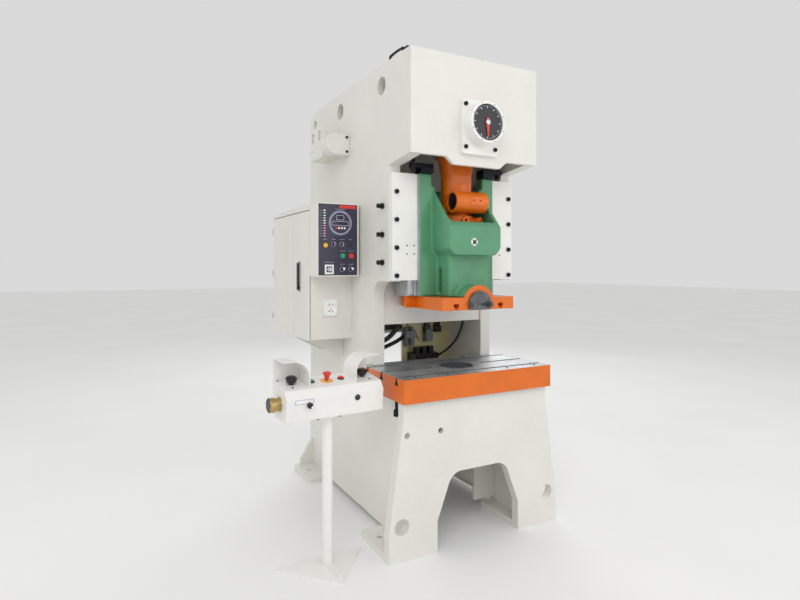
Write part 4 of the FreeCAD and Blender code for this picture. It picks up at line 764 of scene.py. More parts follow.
class PRESS_OT_frame(bpy.types.Operator):
    """Side plates, bed, feet, head and the parts inside them."""
    bl_idname = "press.frame"
    bl_label = "Frame"

    def execute(self, context):
        edge = sizes().plate_round
        skins("body_paint", edge, "left_side_plate", "right_side_plate", "bed_front_plate",
              "head_plates")
        skins("body_paint", edge / 2, "foot_plates", "inner_walls", "bed_table")
        skins("body_paint", 0, "rear_guard")
        self.lifting_bar()
        self.guard_screws()
        return {"FINISHED"}

    def lifting_bar(self):
        """Black bar on the roof's left edge, with two clips before it."""
        x, z = 0.016 - OUTER, TOP + 0.028
        crown = z + 0.004
        points = [(x, depth(y), height) for y, height in (
            (134, TOP), (134, z), (152, z), (218, crown), (284, z), (302, z), (302, TOP))]
        solid_tube("roof_bar", points, 0.008, "black_oxide", "frame", "dark_steel")
        spots = [facing((x, depth(y), TOP), UP) for y in (84, 108)]
        repeated("roof_clips", hex_head(0.011, 0.02), spots, "black_oxide", "frame", "dark_steel")

    def guard_screws(self):
        low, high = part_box("rear_guard")
        first, run = low.z + 0.04, high.z - low.z - 0.08
        spots = [facing((side * (high.x - 0.02), high.y, first + share * run), TO_BACK)
                 for side in (-1, 1) for share in (0, 0.25, 0.5, 0.75, 1)]
        repeated("guard_screws", pan_head(0.008), spots, "bright_steel", "frame", "dark_steel")


class PRESS_OT_gibs(bpy.types.Operator):
    """Slide guides, their covers, screws and adjusters."""
    bl_idname = "press.gibs"
    bl_label = "Gibs"

    def execute(self, context):
        skins("ground_steel", 0.001, "side_gibs")
        skins("cover_paint", 0.002, "gib_plates")
        skins("black_oxide", 0.0008, "cover_screws", "gib_adjusters")
        skins("brass", 0.001, "crank_bushes")
        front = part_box("gib_plates")[0].y
        pins = [facing((side * x, front, z), TO_FRONT) for side in (-1, 1)
                for x in (0.305, 0.355) for z in (1.7233, 1.7753)]
        repeated("gib_pins", pan_head(0.0048), pins, "black_oxide", "frame", "dark_steel")
        return {"FINISHED"}


def slab_finish(low, high):
    """Choose paint (0) on the outer sides of a slab, bright metal (1) on its top, dark inside."""
    def choose(at, normal):
        flush = any(abs(at[i] - limit[i]) < 0.0006 for i in (0, 1) for limit in (low, high))
        if flush and abs(normal.z) < 0.5:
            return 0
        return 1 if normal.z > 0.5 and at.z > high.z - 0.001 else 2
    return choose


class PRESS_OT_bolster(bpy.types.Operator):
    """Bolster with its painted sides and machined top."""
    bl_idname = "press.bolster"
    bl_label = "Bolster"

    def execute(self, context):
        low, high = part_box("bolster")
        skin("bolster", ["orange_paint", "bolster_top", "dark_casting"], 0.0025,
             slab_finish(low, high))
        skins("black_oxide", 0.0012, "bolster_bolts")
        self.dowel_screws(high.z)
        return {"FINISHED"}

    def dowel_screws(self, top):
        """Small flush screws that close the tapped holes of the bolster's face."""
        places = [facing((x, depth(y), top - 0.0005), UP) for y in (12, 488)
                  for x in (-0.44, -0.22, 0.22, 0.44) if y < 100 or abs(x) < 0.35]
        repeated("bolster_plugs", pan_head(0.007), places, "black_oxide", "frame", "dark_steel")


class PRESS_OT_slide(bpy.types.Operator):
    """Slide casting, its plate, clamp, cap and front gauge."""
    bl_idname = "press.slide"
    bl_label = "Slide"

    def execute(self, context):
        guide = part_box("slide_plate")[1].x + 0.0165
        cast("slide", ["green_paint", "ground_steel"], sizes().net, 14, guide - 0.006,
             lambda at, normal: int(abs(at.x) > guide))
        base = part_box("slide_plate")[0].z
        skin("slide_plate", ["orange_paint", "ground_steel"], 0.002,
             lambda at, normal: int(normal.z < -0.7 and at.z < base + 0.002))
        skins("dark_casting", 0.0015, "shank_clamp")
        skins("ground_steel", 0.001, "ball_cap")
        skins("black_oxide", 0.0015, "balance_rods")
        self.gauge()
        return {"FINISHED"}

    def gauge(self):
        """White oil-level flange on the front of the pocket box."""
        at = Vector((-0.014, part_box("slide")[0].y + 0.0258, 1.795))
        out = Vector(TO_FRONT)
        lathe_piece("gauge_flange", [(0, -0.004), (0.024, -0.004), (0.024, 0.005), (0.022, 0.007),
                                     (0.013, 0.007), (0.0125, 0.004), (0, 0.004)],
                    facing(at, out), "white_plastic", "slide", "green_paint")
        repeated("gauge_screws", pan_head(0.0042), round_places(at + 0.0068 * out, 0.0178, 4, 45),
                 "smoked_plastic", "slide", "dark_steel")
        repeated("gauge_hub", hex_head(0.0115, 0.006), [facing(at + 0.0035 * out, out)],
                 "black_plastic", "slide", "dark_steel")


class PRESS_OT_rod(bpy.types.Operator):
    """Connecting rod, lock clamp and adjusting screw."""
    bl_idname = "press.rod"
    bl_label = "Connecting rod"

    def execute(self, context):
        skin("connecting_rod", ["orange_paint"], 0.004, segments=3)
        cast("lock_clamp", ["orange_paint"], sizes().net * 0.5, 5, 1.0)
        skins("ground_steel", 0.001, "crank_pin", "adjusting_screw")
        self.worm_cover()
        return {"FINISHED"}

    def worm_cover(self):
        """Black end disc that stands back in the worm housing."""
        axis_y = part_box("connecting_rod")[0].y + 0.068
        lathe_piece("worm_cover", [(0, -0.03), (0.053, -0.03), (0.053, 0), (0.049, 0.002),
                                   (0.04, 0.002), (0.038, -0.003), (0.016, -0.003),
                                   (0.014, 0.006), (0, 0.006)],
                    facing((-0.095, axis_y, 2.047), TO_LEFT), "black_oxide", "rod", "dark_steel")


class PRESS_OT_dial(bpy.types.Operator):
    """Crank angle dial with its face, ticks and hand."""
    bl_idname = "press.dial"
    bl_label = "Dial"

    def execute(self, context):
        skin("dial_housing", ["cover_paint"], 0.0025, segments=3)
        skin("dial_pointer", ["red_enamel"], 0.0006)
        centre = Vector((0, depth(-78), CRANK_Z))
        radius = sizes().dial_face
        lathe_piece("dial_face", [(0.021, -0.004), (radius, -0.004), (radius, 0.0005),
                                  (radius - 0.002, 0.001), (0.0225, 0.001), (0.021, 0)],
                    facing(centre, TO_FRONT), "display_face", "frame", "black_plastic", 96)
        lathe_piece("dial_hub", [(0, 0), (0.0165, 0), (0.0165, 0.002), (0.014, 0.0032),
                                 (0.0105, 0.0032), (0.009, 0.0012), (0, 0.0012)],
                    facing(centre + Vector((0, -0.0095, 0)), TO_FRONT), "bright_steel",
                    "crank", "ground_steel")
        self.ticks(centre - Vector((0, 0.0009, 0)), radius - 0.007)
        rim = Vector((0, depth(-90), centre.z))
        repeated("dial_rim_screws", pan_head(0.0032), round_places(rim, 0.1165, 8, 22.5),
                 "machine_grey", "frame", "dark_steel")
        return {"FINISHED"}

    def ticks(self, centre, reach):
        """Twelve hour marks, and short ones between them, that end at the reach."""
        tick = sizes().tick
        for name, count, span, wide in (("dial_ticks", 12, tick, 0.0022),
                                        ("dial_marks", 60, tick / 3, 0.0009)):
            def mark(bm):
                block(bm, (-wide, -span / 2, 0), (wide, span / 2, 0.0006))
            repeated(name, mark, round_places(centre, reach - span / 2, count), "printed_white",
                     "frame", "black_plastic")


class PRESS_OT_drive(bpy.types.Operator):
    """Crankshaft, gear, flywheel, motor and belts."""
    bl_idname = "press.drive"
    bl_label = "Drive"

    def execute(self, context):
        skins("ground_steel", 0.003, "crankshaft")
        skins("dark_casting", 0, "main_gear")
        skins("ground_steel", 0, "pinion_shaft")
        skin("flywheel", ["orange_paint", "ground_steel"], 0.003,
             lambda at, normal: int(math.hypot(at.x, at.z - PINION_Z) > 0.325))
        skins("machine_grey", 0.002, "motor")
        skins("dark_casting", 0.0015, "motor_pulley")
        skins("rubber", 0.0015, "drive_belts")
        skins("cover_paint", 0.003, "balance_cylinders")
        self.cooling_fins()
        self.flywheel_bolts()
        return {"FINISHED"}

    def cooling_fins(self):
        """Fins along the motor's barrel, left out under it where its feet are."""
        near, far, radius = depth(1085), depth(1290), 0.1185

        def fin(bm):
            block(bm, (-0.0015, near, 0), (0.0015, far, 0.011))
        places = []
        for i in range(-13, 14):
            angle = math.radians(i * 8.5)
            at = Vector((radius * math.sin(angle), 0, MOTOR_Z + radius * math.cos(angle)))
            places.append(Matrix.Translation(at) @ Matrix.Rotation(angle, 4, "Y"))
        repeated("motor_fins", fin, places, "machine_grey", "frame", "motor_paint")

    def flywheel_bolts(self):
        rear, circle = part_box("flywheel")[1].y, 0.07
        ring = [facing((circle * math.cos(a), rear, PINION_Z + circle * math.sin(a)), TO_BACK)
                for a in (math.radians(60 * i) for i in range(6))]
        repeated("flywheel_bolts", hex_head(0.011, 0.009), ring, "black_oxide", "flywheel",
                 "dark_steel")


class PRESS_OT_cabinet(bpy.types.Operator):
    """Electrical cabinet with its door, painted shade in the door's gap, handle and socket outlet.
    """
    bl_idname = "press.cabinet"
    bl_label = "Cabinet"

    def execute(self, context):
        skins("body_paint", sizes().sheet_round, "electrical_cabinet", "cabinet_door")
        skins("black_plastic", 0.0025, "door_handle", segments=3)
        low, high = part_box("cabinet_door")
        fold = ((low.x - 0.0028, depth(1209), low.z + 0.004),
                (low.x + 0.001, depth(1219), high.z - 0.004))
        blocks_piece("door_fold", [fold], "cover_paint", "door", "cream_paint", 0.0012)
        # dark strips in the door's gap: painted shade
        self.painted_shade(low, high)
        self.hinges(low, high)
        self.handle_plate()
        self.outlet()
        return {"FINISHED"}

    def painted_shade(self, low, high):
        """Dark strips in the gap between the door and the cabinet: painted shade of the gap."""
        inset, wide = 0.003, 0.012
        near, far = low.y + inset, high.y - inset
        foot, head = low.z + inset, high.z - inset
        strips = ((near, near + wide, foot, head), (far - wide, far, foot, head),
                  (near + wide, far - wide, foot, foot + wide),
                  (near + wide, far - wide, head - wide, head))
        blocks_piece("door_seal", [((high.x + 0.0003, y0, z0), (high.x + 0.0037, y1, z1))
                                   for y0, y1, z0, z1 in strips], "painted_shade", "frame", "black_rubber")

    def hinges(self, low, high):
        profile = [(0, 0), (0.006, 0), (0.006, 0.024), (0.0052, 0.0245), (0.0052, 0.0255),
                   (0.006, 0.026), (0.006, 0.05), (0, 0.05)]
        places = [Matrix.Translation((low.x, high.y, low.z + share * (high.z - low.z)))
                  for share in (0.1, 0.48, 0.86)]
        repeated("door_hinges", lambda bm: lathe(bm, profile, steps=20), places, "bright_steel",
                 "door", "nickel")

    def handle_plate(self):
        """Lock plate under the lever."""
        low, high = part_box("door_handle")
        y, x = (low.y + high.y) / 2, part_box("cabinet_door")[0].x
        outer, inner, end = 0.016, 0.013, 0.007
        foot, head = low.z - 0.008, high.z + 0.008
        bars = ((-outer, -inner, foot, head), (inner, outer, foot, head),
                (-inner, inner, foot, foot + end), (-inner, inner, head - end, head))
        blocks_piece("lock_plate", [((x - 0.002, y + y0, z0), (x - 0.0002, y + y1, z1))
                                    for y0, y1, z0, z1 in bars],
                     "black_plastic", "door", "black_plastic", 0.0005)

    def outlet(self):
        """Socket outlet on the front of the cabinet, under the control panel, with painted shade in
        its holes.
        """
        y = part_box("electrical_cabinet")[0].y
        x, z, half, tall, rim = -0.625, 1.367, 0.050, 0.058, 0.006
        for name, inset, near, far, round_by in (("outlet_box", 0, 0.012, 0.0002, 0.003),
                                                 ("outlet_face", rim, 0.0145, 0.0122, 0.001)):
            wide, high = half - inset, tall - inset
            blocks_piece(name, [((x - wide, y - near, z - high), (x + wide, y - far, z + high))],
                         "white_plastic", "frame", "white_paint", round_by)
        # The holes are dark blocks on the socket's face: painted shade inside the holes.
        holes = ((-0.012, 0.020, 0.002, 0.007), (0.012, 0.020, 0.002, 0.007),
                 (0, -0.012, 0.002, 0.008), (-0.013, -0.024, 0.0065, 0.002),
                 (0.013, -0.024, 0.0065, 0.002))
        blocks_piece("outlet_slots", [
            ((x + sx - wide, y - 0.0152, z + sz - high), (x + sx + wide, y - 0.0143, z + sz + high))
            for sx, sz, wide, high in holes], "painted_shade", "frame", "black_plastic")


class PRESS_OT_panel(bpy.types.Operator):
    """Control panel: plate, ring, lamps, displays, bezels and blank labels."""
    bl_idname = "press.panel"
    bl_label = "Control panel"

    film = 0.0012       # thickness of the dark plate
    sunk = 0.0008       # how far back printed slabs begin
    seat = 0.0011       # how far forward turned pieces begin
    lamp_x, lamp_top, lamp_pitch = -0.723, 2.012, 0.0166

    def execute(self, context):
        skins("body_paint", sizes().sheet_round, "panel_box")
        for finish_name, switches in (
                ("yellow_plastic", ("yellow_button",)), ("green_plastic", ("green_button",)),
                ("red_plastic", ("red_button",)), ("bright_steel", ("key_switch",)),
                ("black_plastic", [f"selector_{n}" for n in ("one", "two", "three", "four")])):
            skins(finish_name, 0.0006, *(f"panel_{switch}" for switch in switches))
        low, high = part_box("panel_box")
        self.front = low.y
        self.plate(low, high)
        self.lamps()
        self.ring()
        self.displays()
        self.bezels()
        self.marks()
        self.key_plate()
        return {"FINISHED"}

    def slab(self, x, z, proud):
        """Corners of a flat slab on the plate, between two x and two z."""
        return (x[0], self.front - proud, z[0]), (x[1], self.front - self.sunk, z[1])

    def on_plate(self, x, z):
        """A place on the plate, facing the front."""
        return facing((x, self.front - self.seat, z), TO_FRONT)

    def holes(self):
        """Name, x, z and radius of each switch."""
        names = [n for n in frame["nodes"] if n.startswith("panel_") and n != "panel_box"]
        for name in sorted(names):
            low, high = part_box(name)
            yield name, (low.x + high.x) / 2, (low.z + high.z) / 2, (high.z - low.z) / 2

    def plate(self, low, high):
        """Dark plate with round openings for the switches."""
        bm = bmesh.new()
        block(bm, (low.x + 0.007, self.front - self.film, low.z + 0.007),
              (high.x - 0.011, self.front - 0.0001, high.z - 0.008))
        piece = from_bmesh("control_plate", bm)
        drill, reach = bmesh.new(), 0.02
        for _, x, z, radius in self.holes():
            wide = radius + 0.0008
            lathe(drill, [(0, -reach), (wide, -reach), (wide, reach), (0, reach)],
                  facing((x, self.front, z), TO_FRONT), 40)
        cutter = from_bmesh("plate_drill", drill)
        trim = piece.modifiers.new("holes", "BOOLEAN")
        trim.object = cutter
        trim.operation = "DIFFERENCE"
        trim.solver = "EXACT"
        baked(piece)
        bpy.data.objects.remove(cutter)
        for face in piece.data.polygons:
            face.use_smooth = False
        settle(piece, "frame", "black_plastic", "control_plate")
        corners = [facing((x, self.front - self.film, z), TO_FRONT)
                   for x in (low.x + 0.015, high.x - 0.019)
                   for z in (low.z + 0.016, high.z - 0.017)]
        repeated("plate_screws", pan_head(0.0034), corners, "black_oxide", "frame", "dark_steel")

    def lamps(self):
        """Column of small indicator lamps."""
        half, tall, lift = sizes().lamp / 2, 0.0028, 0.0016

        def lens(bm):
            block(bm, (-half, -tall, 0), (half, tall, lift))
        for tone, rows in (("white", (0, 4)), ("green", (1, 2, 3)), ("yellow", (5,)),
                           ("red", (6, 7, 8, 9, 10))):
            places = [self.on_plate(self.lamp_x, self.lamp_top - self.lamp_pitch * row)
                      for row in rows]
            repeated(f"lamps_{tone}", lens, places, f"{tone}_lamp", "frame", "white_paint")

    def ring(self):
        """Ring of scale strokes round the displays."""
        x, z, radius, tall = -0.612, 1.934, 0.0755, 0.0006
        inner, outer = radius - 0.0075, radius + 0.0055
        lathe_piece("scale_ring", [(inner, 0), (outer, 0), (outer, tall), (inner, tall),
                                   (inner, 0)],
                    self.on_plate(x, z), "printed_grey", "frame", "black_plastic", 96)

        def stroke(bm):
            block(bm, (-0.0007, -0.0052, 0), (0.0007, 0.0052, 0.0004))
        face = Vector((x, self.front - self.seat - tall, z))
        repeated("scale_strokes", stroke, round_places(face, radius - 0.001, 72),
                 "smoked_plastic", "frame", "black_plastic")

    def displays(self):
        """Two dark displays in light frames, and the row of keys under them."""
        windows = ((-0.636, -0.590), (1.956, 1.980)), ((-0.668, -0.558), (1.920, 1.941))
        rim = 0.004
        blocks_piece("display_frames", [
            self.slab((x[0] - rim, x[1] + rim), (z[0] - rim, z[1] + rim), 0.0018)
            for x, z in windows], "printed_grey", "frame", "black_plastic")
        blocks_piece("display_glass", [self.slab(x, z, 0.0022) for x, z in windows],
                     "display_glass", "frame", "black_plastic")
        key = [(0, 0), (0.0075, 0), (0.0075, 0.002), (0.006, 0.0032), (0, 0.0034)]
        for name, paint_name, spots in (("set_key", "red_plastic", (-0.641,)),
                                        ("menu_keys", "white_plastic", (-0.622, -0.602, -0.582))):
            repeated(name, lambda bm: lathe(bm, key, steps=24),
                     [self.on_plate(x, 1.900) for x in spots], paint_name, "frame", "white_paint")

    def bezels(self):
        """Rings round the switches, and the blind plug."""
        for name, x, z, radius in self.holes():
            profile = ring_profile(radius + 0.0006, radius + 0.0036, 0.003, 0.001)
            finish_name = "printed_grey" if "selector" in name else "smoked_plastic"
            lathe_piece(name + "_bezel", profile, self.on_plate(x, z), finish_name, "frame",
                        "black_plastic", 40)
            if "selector" in name:
                self.mark_line(name, x, z, radius)
        lathe_piece("blind_plug", [(0, 0), (0.0145, 0), (0.0145, 0.002), (0.013, 0.0035),
                                   (0, 0.0045)],
                    self.on_plate(-0.543, 1.792), "smoked_plastic", "frame", "black_plastic", 40)

    def mark_line(self, name, x, z, radius):
        """White line on the grip of a selector, or its white cap on the lower pair."""
        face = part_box(name)[0].y
        if name.endswith(("three", "four")):
            lathe_piece(name + "_cap", [(0, 0), (0.0085, 0), (0.0085, 0.0035), (0.007, 0.005),
                                        (0, 0.0055)],
                        facing((x + 0.004, face + 0.0005, z + 0.003), TO_FRONT),
                        "white_plastic", name, "white_paint", 28)
            return
        half, reach = 0.002, radius - 0.003
        blocks_piece(name + "_line", [((x - half, face - 0.0008, z - reach),
                                       (x + half, face + 0.0006, z + reach))],
                     "printed_white", name, "white_paint", 0.0003)

    def marks(self):
        """Plain strokes where captions would stand, and a plain banner."""
        rows = [self.lamp_top - self.lamp_pitch * row for row in range(11)]
        strokes = [self.slab((-0.757, -0.737), (z - 0.0009, z + 0.0009), 0.0014) for z in rows]
        for z, captions in ((1.8245, ((-0.659, 0.013), (-0.600, 0.018), (-0.543, 0.012))),
                            (1.7495, ((-0.598, 0.020), (-0.537, 0.020))),
                            (1.6615, ((-0.598, 0.018), (-0.537, 0.018))),
                            (1.6745, ((-0.690, 0.034),)), (1.8235, ((-0.720, 0.013),)),
                            (2.0235, ((-0.612, 0.036),))):
            strokes += [self.slab((x - half, x + half), (z - 0.0012, z + 0.0012), 0.0014)
                        for x, half in captions]
        blocks_piece("caption_strokes", strokes, "printed_grey", "frame", "black_plastic")
        blocks_piece("panel_banner", [self.slab((-0.618, -0.500), (2.030, 2.051), 0.0018)],
                     "red_enamel", "frame", "red_plastic")

    def key_plate(self):
        """Square white plate round the key switch."""
        name, x, z, radius = next(row for row in self.holes() if row[0] == "panel_key_switch")
        reach, inner = 0.031, radius + 0.0045
        sides = ((-reach, reach, -reach, -inner), (-reach, reach, inner, reach),
                 (-reach, -inner, -inner, inner), (inner, reach, -inner, inner))
        blocks_piece("key_plate", [self.slab((x + x0, x + x1), (z + z0, z + z1), 0.0022)
                                   for x0, x1, z0, z1 in sides],
                     "white_plastic", "frame", "white_paint")


class PRESS_OT_cam_box(bpy.types.Operator):
    """Rotary cam box on the side, with the cover of its chain."""
    bl_idname = "press.cam_box"
    bl_label = "Cam box"

    def execute(self, context):
        skins("body_paint", sizes().sheet_round, "cam_box")
        skins("body_paint", sizes().plate_round, "cam_drive_cover")
        low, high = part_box("cam_box")
        seam = high.z - 0.0495
        for number, y in enumerate((low.y + 0.055, high.y - 0.055)):
            self.latch(f"cam_latch_{number + 1}", low.x, y, seam)
        screws = [facing((low.x, y, seam - 0.11), TO_LEFT)
                  for y in (low.y + 0.03, high.y - 0.03)]
        repeated("cam_screws", pan_head(0.006), screws, "bright_steel", "frame", "nickel")
        near, axis_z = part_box("cam_drive_cover")[0].y, middle("cam_drive_cover").z
        bolts = [facing((-OUTER - 0.022, near, axis_z + up), TO_FRONT) for up in (-0.05, 0.05)]
        repeated("chain_bolts", cap_screw(0.0085), bolts, "black_oxide", "frame", "dark_steel")
        return {"FINISHED"}

    def latch(self, name, x, y, seam):
        """Toggle latch: base, lever, two links and keeper over the lid's seam."""
        parts = ((0.002, 0, -0.011, 0.011, -0.048, -0.006),
                 (0.008, 0.002, -0.008, 0.008, -0.044, -0.012),
                 (0.0055, 0.003, -0.010, -0.007, -0.012, 0.016),
                 (0.0055, 0.003, 0.007, 0.010, -0.012, 0.016),
                 (0.007, 0, -0.012, 0.012, 0.012, 0.022))
        blocks_piece(name, [((x - out, y + y0, seam + z0), (x - back, y + y1, seam + z1))
                            for out, back, y0, y1, z0, z1 in parts],
                     "bright_steel", "frame", "nickel", 0.0006)


# Diameter and length of each air hose, and its points: x, distance behind the front, z
HOSES = {
    "supply_hose": (0.032, 0.196, (
        (-0.226, 0.600, 1.262), (-0.243, 0.612, 1.222), (-0.268, 0.630, 1.182),
        (-0.303, 0.650, 1.149), (-0.344, 0.668, 1.128))),
    "valve_hose": (0.028, 0.326, (
        (-0.350, 0.770, 1.046), (-0.296, 0.778, 1.062), (-0.236, 0.792, 1.079),
        (-0.172, 0.812, 1.094), (-0.108, 0.838, 1.110), (-0.052, 0.866, 1.130))),
    "pump_hose": (0.016, 0.423, (
        (0.300, 0.600, 1.262), (0.314, 0.640, 1.216), (0.328, 0.690, 1.160),
        (0.333, 0.745, 1.100), (0.318, 0.796, 1.046), (0.284, 0.832, 1.004),
        (0.234, 0.854, 0.971))),
}


class PRESS_OT_air(bpy.types.Operator):
    """Air unit, valve plate, pump and hoses behind the throat."""
    bl_idname = "press.air"
    bl_label = "Air and oil"

    def execute(self, context):
        plate_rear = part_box("air_service_unit")[1].y
        skin("air_service_unit", ["machine_grey", "valve_paint"], 0.001,
             lambda at, normal: int(at.y > plate_rear - 0.012 and at.x > -0.04))
        skins("black_plastic", 0.002, "lubrication_pump")
        for name, (across, run, route) in HOSES.items():
            points = [(x, FRONT + y, z) for x, y, z in route]
            hose = tube(name, points, across / 2, "rubber")
            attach(hose, "frame")
            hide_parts("air_hoses")
            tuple(points[0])
        self.copper_line()
        self.valves()
        return {"FINISHED"}

    def copper_line(self):
        """Thin oil line along the valve plate, fixed at both ends."""
        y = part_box("air_service_unit")[1].y - 0.012
        points = [(-0.006, y, 1.255), (0.004, y - 0.004, 1.222), (0.030, y - 0.006, 1.196),
                  (0.066, y - 0.005, 1.168), (0.098, y - 0.003, 1.128), (0.112, y, 1.086)]
        solid_tube("oil_line", points, 0.003, "copper", "frame", "bronze")

    def valves(self):
        """Two solenoid valves with coils on the valve plate."""
        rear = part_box("air_service_unit")[1].y - 0.006
        for number, x in enumerate((0.17, 0.262)):
            bm = bmesh.new()
            block(bm, (x - 0.024, rear - 0.046, 1.150), (x + 0.024, rear, 1.196))
            block(bm, (x - 0.017, rear - 0.040, 1.196), (x + 0.017, rear - 0.006, 1.240))
            lathe(bm, [(0, 0), (0.009, 0), (0.009, 0.012), (0.006, 0.014), (0, 0.014)],
                  facing((x, rear - 0.023, 1.240), UP), 24)
            settle(rounded(from_bmesh(f"air_valve_{number + 1}", bm), 0.0015), "frame",
                   "motor_paint", "black_plastic")


# The console's section, in its own axes (y, z): front edge of the top and foot of the front sheet
TOP_EDGE, TOP_SLOPE = (-0.073, 1.003), math.atan2(0.028, 0.185)
FRONT_FOOT, FRONT_LEAN = (-0.093, 0.842), math.atan2(0.010, 0.118)


class PRESS_OT_console(bpy.types.Operator):
    """Two-hand console on its stand."""
    bl_idname = "press.console"
    bl_label = "Console"

    def execute(self, context):
        self.home = (Matrix.Translation((-0.909, depth(163), 0))
                     @ Matrix.Rotation(math.radians(4), 4, "Z")
                     @ Matrix.Translation((0.011, 0, 0)))
        skins("cover_paint", 0.0014, "console_body")
        skins("cover_paint", 0.002, "console_stand")
        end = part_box("console_connector")[0].x
        skin("console_connector", ["brass", "black_plastic"], 0.0008,
             lambda at, normal: int(at.x < end + 0.006))
        for finish_name, nodes in (
                ("black_plastic", ("left_palm_button", "right_palm_button")),
                ("red_plastic", ("emergency_stop_button",)),
                ("green_plastic", ("console_green_button",)),
                ("red_plastic", ("console_red_button",)),
                ("black_plastic", ("console_selector",))):
            skins(finish_name, 0.0008, *nodes, segments=3)
        self.rings()
        self.front_details()
        self.screws()
        return {"FINISHED"}

    def on_top(self, x, along, lift=0.0001):
        """A place on the sloping top, with its Z axis out of the sheet."""
        return (self.home @ Matrix.Translation((x, *TOP_EDGE))
                @ Matrix.Rotation(TOP_SLOPE, 4, "X") @ Matrix.Translation((0, along, lift)))

    def on_front(self, x, up, lift=0.0):
        """A place on the front sheet, with its Z axis out of the sheet."""
        return (self.home @ Matrix.Translation((x, *FRONT_FOOT))
                @ Matrix.Rotation(math.radians(90) + FRONT_LEAN, 4, "X")
                @ Matrix.Translation((0, up, lift)))

    def spot(self, node):
        """Where a button stands on the top: across and along."""
        local = self.home.inverted() @ middle(node)
        run = Vector((0, math.cos(TOP_SLOPE), math.sin(TOP_SLOPE)))
        return local.x, (local - Vector((local.x, *TOP_EDGE))).dot(run)

    def rings(self):
        """Bezels of the two push buttons, and the yellow disc of the emergency stop."""
        push = (0.0156, 0.0195, 0.006, 0.001)
        for name, node, section, finish_name, slot, steps in (
                ("console_green_button_bezel", "console_green_button", push,
                 "smoked_plastic", "black_plastic", 40),
                ("console_red_button_bezel", "console_red_button", push,
                 "smoked_plastic", "black_plastic", 40),
                ("stop_disc", "emergency_stop_button", (0.0176, 0.036, 0.002, 0.0008),
                 "yellow_plastic", "yellow_plastic", 56)):
            lathe_piece(name, ring_profile(*section), self.on_top(*self.spot(node)), finish_name,
                        "frame", slot, steps)

    def front_details(self):
        """Blank label, blind plug and the selector's white mark."""
        label = self.on_front(-0.187, 0.1035)
        for name, half, tall, near, far, finish_name in (
                ("label_border", 0.052, 0.012, 0.0001, 0.0008, "printed_grey"),
                ("blank_label", 0.049, 0.0095, 0.0008, 0.0011, "white_plastic")):
            blocks_piece(name, [((-half, -tall, near), (half, tall, far))], finish_name,
                         "frame", "white_paint", place=label)
        lathe_piece("front_plug", [(0, 0.0001), (0.0165, 0.0001), (0.0165, 0.003), (0.0145, 0.005),
                                   (0.006, 0.005), (0.005, 0.003), (0, 0.003)],
                    self.on_front(0.123, 0.089), "smoked_plastic", "frame", "black_plastic", 40)
        selector_x = (self.home.inverted() @ middle("console_selector")).x
        lathe_piece("selector_cap", [(0, 0), (0.0085, 0), (0.0085, 0.0012), (0.0075, 0.002),
                                     (0, 0.002)], self.on_front(selector_x, 0.0835, 0.0445),
                    "white_plastic", "console_selector", "white_paint", 28)

    def screws(self):
        """Cover screws on the top, and the cap screws that hold the pole's flange."""
        top = [self.on_top(x, along) for x, along in
               ((-0.262, 0.170), (-0.226, 0.040), (0.235, 0.040), (0.262, 0.170))]
        repeated("cover_heads", pan_head(0.006), top, "black_oxide", "frame", "dark_steel")
        low = [self.home @ Matrix.Translation((x, -0.070, 0.8415))
               @ Matrix.Rotation(math.pi, 4, "X") for x in (-0.099, 0.031)]
        repeated("flange_heads", cap_screw(0.0075), low, "black_oxide", "frame", "dark_steel")


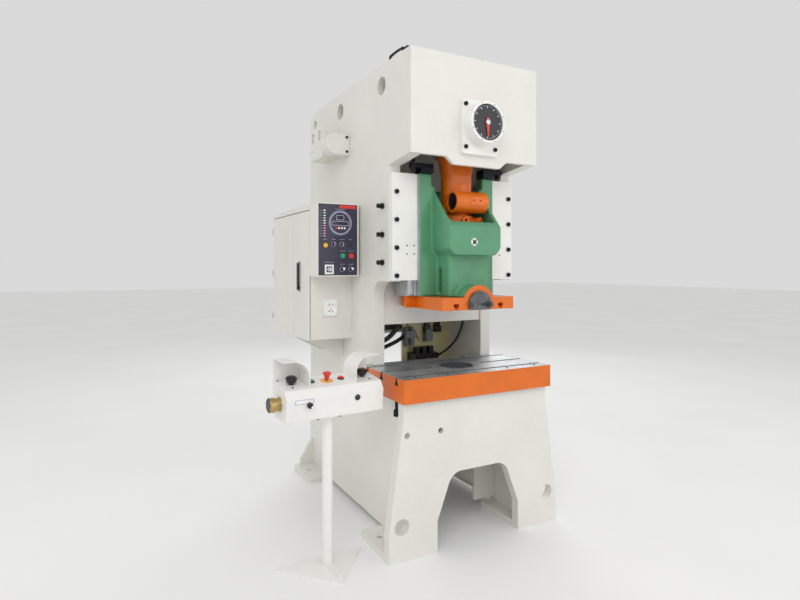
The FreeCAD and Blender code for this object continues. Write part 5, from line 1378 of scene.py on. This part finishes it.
class PRESS_OT_stage(bpy.types.Operator):
    """Floor, studio lights and camera."""
    bl_idname = "press.stage"
    bl_label = "Stage"

    def execute(self, context):
        self.floor()
        self.lights()
        self.camera()
        self.world()
        return {"FINISHED"}

    def floor(self):
        bm = bmesh.new()
        bmesh.ops.create_grid(bm, x_segments=1, y_segments=1, size=40)
        plane = from_bmesh("floor", bm)
        plane.data.materials.append(finish("floor_paint"))

    def lights(self):
        for name, at, towards, size, power in (
                ("key_light", (-3.4, -5.2, 5.6), (0, -0.4, 1.4), 3.6, 115),
                ("front_fill", (2.6, -6.0, 3.0), (0, -0.4, 1.2), 4.5, 60),
                ("left_fill", (-6.0, 0.6, 3.2), (0, 0.2, 1.4), 4.0, 16),
                ("rear_light", (3.2, 5.0, 5.0), (0, 0.4, 1.6), 4.0, 90)):
            lamp_data = bpy.data.lights.new(name, "AREA")
            lamp_data.size = size
            lamp_data.energy = power
            light = bpy.data.objects.new(name, lamp_data)
            bpy.context.scene.collection.objects.link(light)
            light.location = at
            aim = Vector(towards) - Vector(at)
            light.rotation_euler = aim.to_track_quat("-Z", "Y").to_euler()

    def camera(self):
        data = bpy.data.cameras.new("camera")
        data.sensor_width = 36
        data.lens = 25.31
        data.shift_y = -0.0419
        camera = bpy.data.objects.new("camera", data)
        bpy.context.scene.collection.objects.link(camera)
        camera.location = (-2.029, -3.623, 1.647)
        camera.rotation_euler = Vector((0.4756, 0.8797, 0)).to_track_quat("-Z", "Y").to_euler()
        bpy.context.scene.camera = camera

    def world(self):
        world = bpy.data.worlds.new("studio")
        world.use_nodes = True
        sky = world.node_tree.nodes["Background"]
        sky.inputs["Color"].default_value = (1, 1, 1, 1)
        sky.inputs["Strength"].default_value = 0.7
        bpy.context.scene.world = world
        bpy.context.scene.view_settings.view_transform = "Standard"


class PRESS_PT_panel(bpy.types.Panel):
    """Lists the press's operators and settings."""
    bl_idname = "PRESS_PT_panel"
    bl_label = "Stamping press"
    bl_space_type = "VIEW_3D"
    bl_region_type = "UI"
    bl_category = "Press"

    def draw(self, context):
        for operator in OPERATORS:
            self.layout.operator(operator.bl_idname)
        for group in (context.scene.press_paint, context.scene.press_sizes):
            column = self.layout.column()
            for name in group.__annotations__:
                column.prop(group, name)


OPERATORS = (PRESS_OT_stage, PRESS_OT_air, PRESS_OT_frame, PRESS_OT_gibs, PRESS_OT_bolster,
             PRESS_OT_slide, PRESS_OT_rod, PRESS_OT_dial, PRESS_OT_drive, PRESS_OT_cabinet,
             PRESS_OT_panel, PRESS_OT_cam_box, PRESS_OT_console)
CLASSES = (PressPaint, PressSizes, *OPERATORS, PRESS_PT_panel)


def register():
    for cls in CLASSES:
        bpy.utils.register_class(cls)
    bpy.types.Scene.press_paint = bpy.props.PointerProperty(type=PressPaint)
    bpy.types.Scene.press_sizes = bpy.props.PointerProperty(type=PressSizes)


def unregister():
    del bpy.types.Scene.press_paint
    del bpy.types.Scene.press_sizes
    for cls in reversed(CLASSES):
        bpy.utils.unregister_class(cls)


def main():
    register()
    for operator in OPERATORS:
        group, name = operator.bl_idname.split(".")
        getattr(getattr(bpy.ops, group), name)()


if __name__ == "__main__":
    main()
